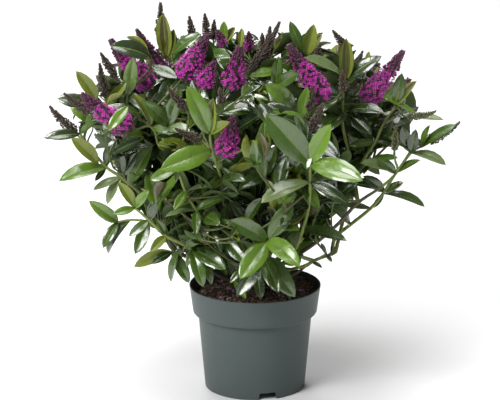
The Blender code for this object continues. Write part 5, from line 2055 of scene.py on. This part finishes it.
class HEBE_OT_limbs(bpy.types.Operator):
    """Make the trunk and the boughs with the bark's relief"""

    bl_idname = "hebe.limbs"
    bl_label = "Trunk and boughs"

    def execute(self, context):
        crown = Crown()
        relief = settings().bark_relief
        bark = bark_finish("bark", settings().bark_colour, BARK_STREAK_COLOUR, BARK_STREAK_SCALE)
        rule = limb_rule([(bark, {})])
        shares = [step / TRUNK_STEPS for step in range(TRUNK_STEPS + 1)]
        mesh = lines_mesh("trunk", [([trunk_axis(share) for share in shares], WHOLE_WIDTH, TWIG_WOODY)])
        mesh.attributes["radius"].data.foreach_set("value", [trunk_radius(share) for share in shares])
        trunk = rule.grow("trunk_bark", mesh, Sides=TRUNK_SIDES, Relief_depth=relief * TRUNK_RELIEF_SHARE,
                          Relief_scale=TRUNK_RELIEF_SCALE)
        finish_piece(trunk, "bark", "trunk")
        lines = [(mass.bough, mass.bough_radii, TWIG_WOODY) for mass in crown.masses]
        boughs = rule.grow("boughs_bark", lines_mesh("boughs", lines), Sides=BOUGH_SIDES,
                           Relief_depth=relief, Relief_scale=BOUGH_RELIEF_SCALE)
        finish_piece(boughs, "bark", *["bough_" + mass.name for mass in crown.masses])
        return {"FINISHED"}


class HEBE_OT_leaves(bpy.types.Operator):
    """Grow the twigs and the leaves"""

    bl_idname = "hebe.leaves"
    bl_label = "Twigs and leaves"

    def execute(self, context):
        crown = Crown()
        mine = settings()
        # The pale tone is partly painted sheen
        colours = {
            "dark": mine.leaf_dark, "mid": mine.leaf_mid, "light": mine.leaf_light,
            "fresh": tint(mine.leaf_light, FRESH_SHARE), "pale": PALE_LEAF_WITH_PAINTED_SHEEN,
            "young": mine.leaf_young, "bronze": BRONZE_LEAF,
        }
        tones = {}
        for tone in LEAF_TONES:
            tones[tone] = leaf_finish("leaf " + tone, colours[tone], *LEAF_FINISHES[tone])
        rib = leaf_finish("leaf rib", LEAF_RIB_COLOUR, LEAF_RIB_SHINE)
        under = leaf_finish("leaf underside", mine.leaf_under, LEAF_UNDER_SHINE)
        choices = [(rib, {"part": PART_RIB}), (under, {"part": PART_UNDER})]
        for tone in ("bronze", "young"):
            choices.append((tones[tone], {"tone": LEAF_TONES.index(tone), "part": PART_UNDER}))
        for number, tone in enumerate(LEAF_TONES):
            choices.append((tones[tone], {"tone": number, "part": PART_UPPER}))
            margin = tones["young"] if tone == "bronze" else tones[tone]
            choices.append((margin, {"tone": number, "part": PART_MARGIN}))
        rule = leaf_rule(choices)
        forms = [leaf_shape(f"leaf_{number}", *form) for number, form in enumerate(LEAF_FORMS)]
        shapes = collection_of("leaf shapes", forms)
        for number, (tier, leaves) in enumerate(crown.leaves.items()):
            piece = rule.grow("leaves_" + tier, points_mesh("leaves_" + tier, leaves), Shapes=shapes,
                              Size=mine.leaf_size, Seed=mine.leaf_seed + number)
            nodes = ["foliage_" + mass.name for mass in crown.masses if mass.tier == tier]
            finish_piece(piece, "foliage", *nodes)
        lines = list(crown.twigs)
        for spike in crown.spikes:
            share = spike_share(spike[2])
            radii = [radius * share for radius in SPIKE_KINDS[spike[3]][-1]]
            lines.append((spike_line(spike), radii, TWIG_CORE))
        barks = {name: bark_finish(name, *pair, TWIG_STREAK_SCALE) for name, pair in TWIG_COLOURS.items()}
        # The core's near-black is partly painted shade between the florets
        core = petal_finish("spike core", SPIKE_CORE_WITH_PAINTED_SHADE)
        finishes = [(barks["woody twig"], {"kind": TWIG_WOODY}), (barks["green twig"], {"kind": TWIG_GREEN}),
                    (core, {"kind": TWIG_CORE}), (barks["shaded twig"], {"kind": TWIG_SHADED})]
        piece = limb_rule(finishes).grow("twigs", lines_mesh("twigs", lines), Sides=TWIG_SIDES)
        finish_piece(piece, "foliage")
        return {"FINISHED"}


class HEBE_OT_blossom(bpy.types.Operator):
    """Grow the flower spikes and the bud spikes"""

    bl_idname = "hebe.blossom"
    bl_label = "Blossom"

    def execute(self, context):
        crown = Crown()
        mine = settings()
        petal = petal_finish("petals", mine.petal_colour)
        throat = petal_finish("throats", tint(mine.petal_colour, THROAT_SHARE))
        stamen = petal_finish("stamens", STAMEN_COLOUR)
        opening = petal_finish("opening petals", tint(mine.petal_colour, OPENING_SHARE))
        buds = petal_finish("purple buds", mine.bud_colour)
        plum = petal_finish("plum buds", PLUM_BUD)
        green = petal_finish("green buds", GREEN_BUD)
        forms = [floret_shape(f"floret_{number}", *form) for number, form in enumerate(FLORET_FORMS)]
        forms.append(bud_shape(f"floret_{len(forms)}", BUD_LENGTH, BUD_WIDEST))
        shapes = collection_of("floret shapes", forms)
        finishes = {
            "bloom": [(petal, {"part": PART_PETAL}), (throat, {"part": PART_THROAT}),
                      (stamen, {"part": PART_STAMEN}), (plum, {"part": PART_BUD})],
            "half": [(throat, {}), (opening, {"part": PART_PETAL}), (plum, {"part": PART_BUD})],
            "bud": [(buds, {})],
            "green": [(green, {})],
        }
        for seed, (kind, (radius, spacing, size, share, _)) in enumerate(SPIKE_KINDS.items()):
            alike = [spike for spike in crown.spikes if spike[3] == kind]
            lines = [(spike_line(spike), WHOLE_WIDTH, TWIG_CORE) for spike in alike]
            mesh = lines_mesh(kind, lines, mine.spike_radius * radius)
            rule = spiral_rule(finishes[kind])
            piece = rule.grow("spikes_" + kind, mesh, Shapes=shapes, Spacing=spacing,
                              Floret_size=mine.floret_size * size, Open_share=share, Seed=seed)
            finish_piece(piece, "foliage")
        return {"FINISHED"}


class HEBE_OT_stage(bpy.types.Operator):
    """Set up the floor, the lights and the camera"""

    bl_idname = "hebe.stage"
    bl_label = "Stage"

    def execute(self, context):
        scene = bpy.context.scene
        disc = turned(((0.0, 0.0), (FLOOR_RADIUS, 0.0)), FLOOR_SIDES)
        floor = link_object("floor", mesh_of("floor", *disc))
        floor.location.z = -FLOOR_DROP
        floor.data.materials.append(Finish("floor", roughness=FLOOR_SHINE, base_color=FLOOR_COLOUR).material)
        world = bpy.data.worlds.new("studio")
        world.use_nodes = True
        shade = world.node_tree.nodes["Background"]
        shade.inputs["Color"].default_value = (1.0, 1.0, 1.0, 1.0)
        shade.inputs["Strength"].default_value = settings().world_light
        scene.world = world
        for name, spot, width, share in LAMPS:
            lamp = bpy.data.lights.new(name, "AREA")
            lamp.energy = settings().key_power * share
            lamp.size = width
            holder = bpy.data.objects.new(name, lamp)
            holder.location = spot
            holder.rotation_euler = (LAMP_AIM - Vector(spot)).to_track_quat("-Z", "Y").to_euler()
            scene.collection.objects.link(holder)
        camera = bpy.data.objects.new("camera", bpy.data.cameras.new("camera"))
        camera.data.lens = CAMERA_LENS
        camera.data.sensor_width = SENSOR_WIDTH
        camera.location = EYE
        camera.rotation_euler = EYE_TURN.to_euler()
        camera.data.clip_start = CLIP_NEAR
        camera.data.clip_end = CLIP_FAR
        scene.collection.objects.link(camera)
        scene.camera = camera
        scene.view_settings.view_transform = "Standard"
        return {"FINISHED"}


class HEBE_PT_shrub(bpy.types.Panel):
    """The shrub's pieces and settings"""

    bl_label = "Hebe"
    bl_idname = "HEBE_PT_shrub"
    bl_space_type = "VIEW_3D"
    bl_region_type = "UI"
    bl_category = "Hebe"

    def draw(self, context):
        for operator in OPERATORS:
            self.layout.operator(operator.bl_idname)
        for name in HebeSettings.__annotations__:
            self.layout.prop(settings(), name)


OPERATORS = (
    HEBE_OT_pot, HEBE_OT_soil, HEBE_OT_litter, HEBE_OT_limbs, HEBE_OT_leaves, HEBE_OT_blossom, HEBE_OT_stage,
)


def register():
    """Register the settings, the operators and the panel."""
    for item in (HebeSettings, *OPERATORS, HEBE_PT_shrub):
        bpy.utils.register_class(item)
    bpy.types.Scene.hebe = PointerProperty(type=HebeSettings)


def unregister():
    """Take the settings, the operators and the panel away."""
    del bpy.types.Scene.hebe
    for item in (HEBE_PT_shrub, *reversed(OPERATORS), HebeSettings):
        bpy.utils.unregister_class(item)


def main():
    """Make every piece and the stage."""
    register()
    for operator in OPERATORS:
        getattr(bpy.ops.hebe, operator.bl_idname.split(".")[1])()
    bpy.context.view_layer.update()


if __name__ == "__main__":
    main()
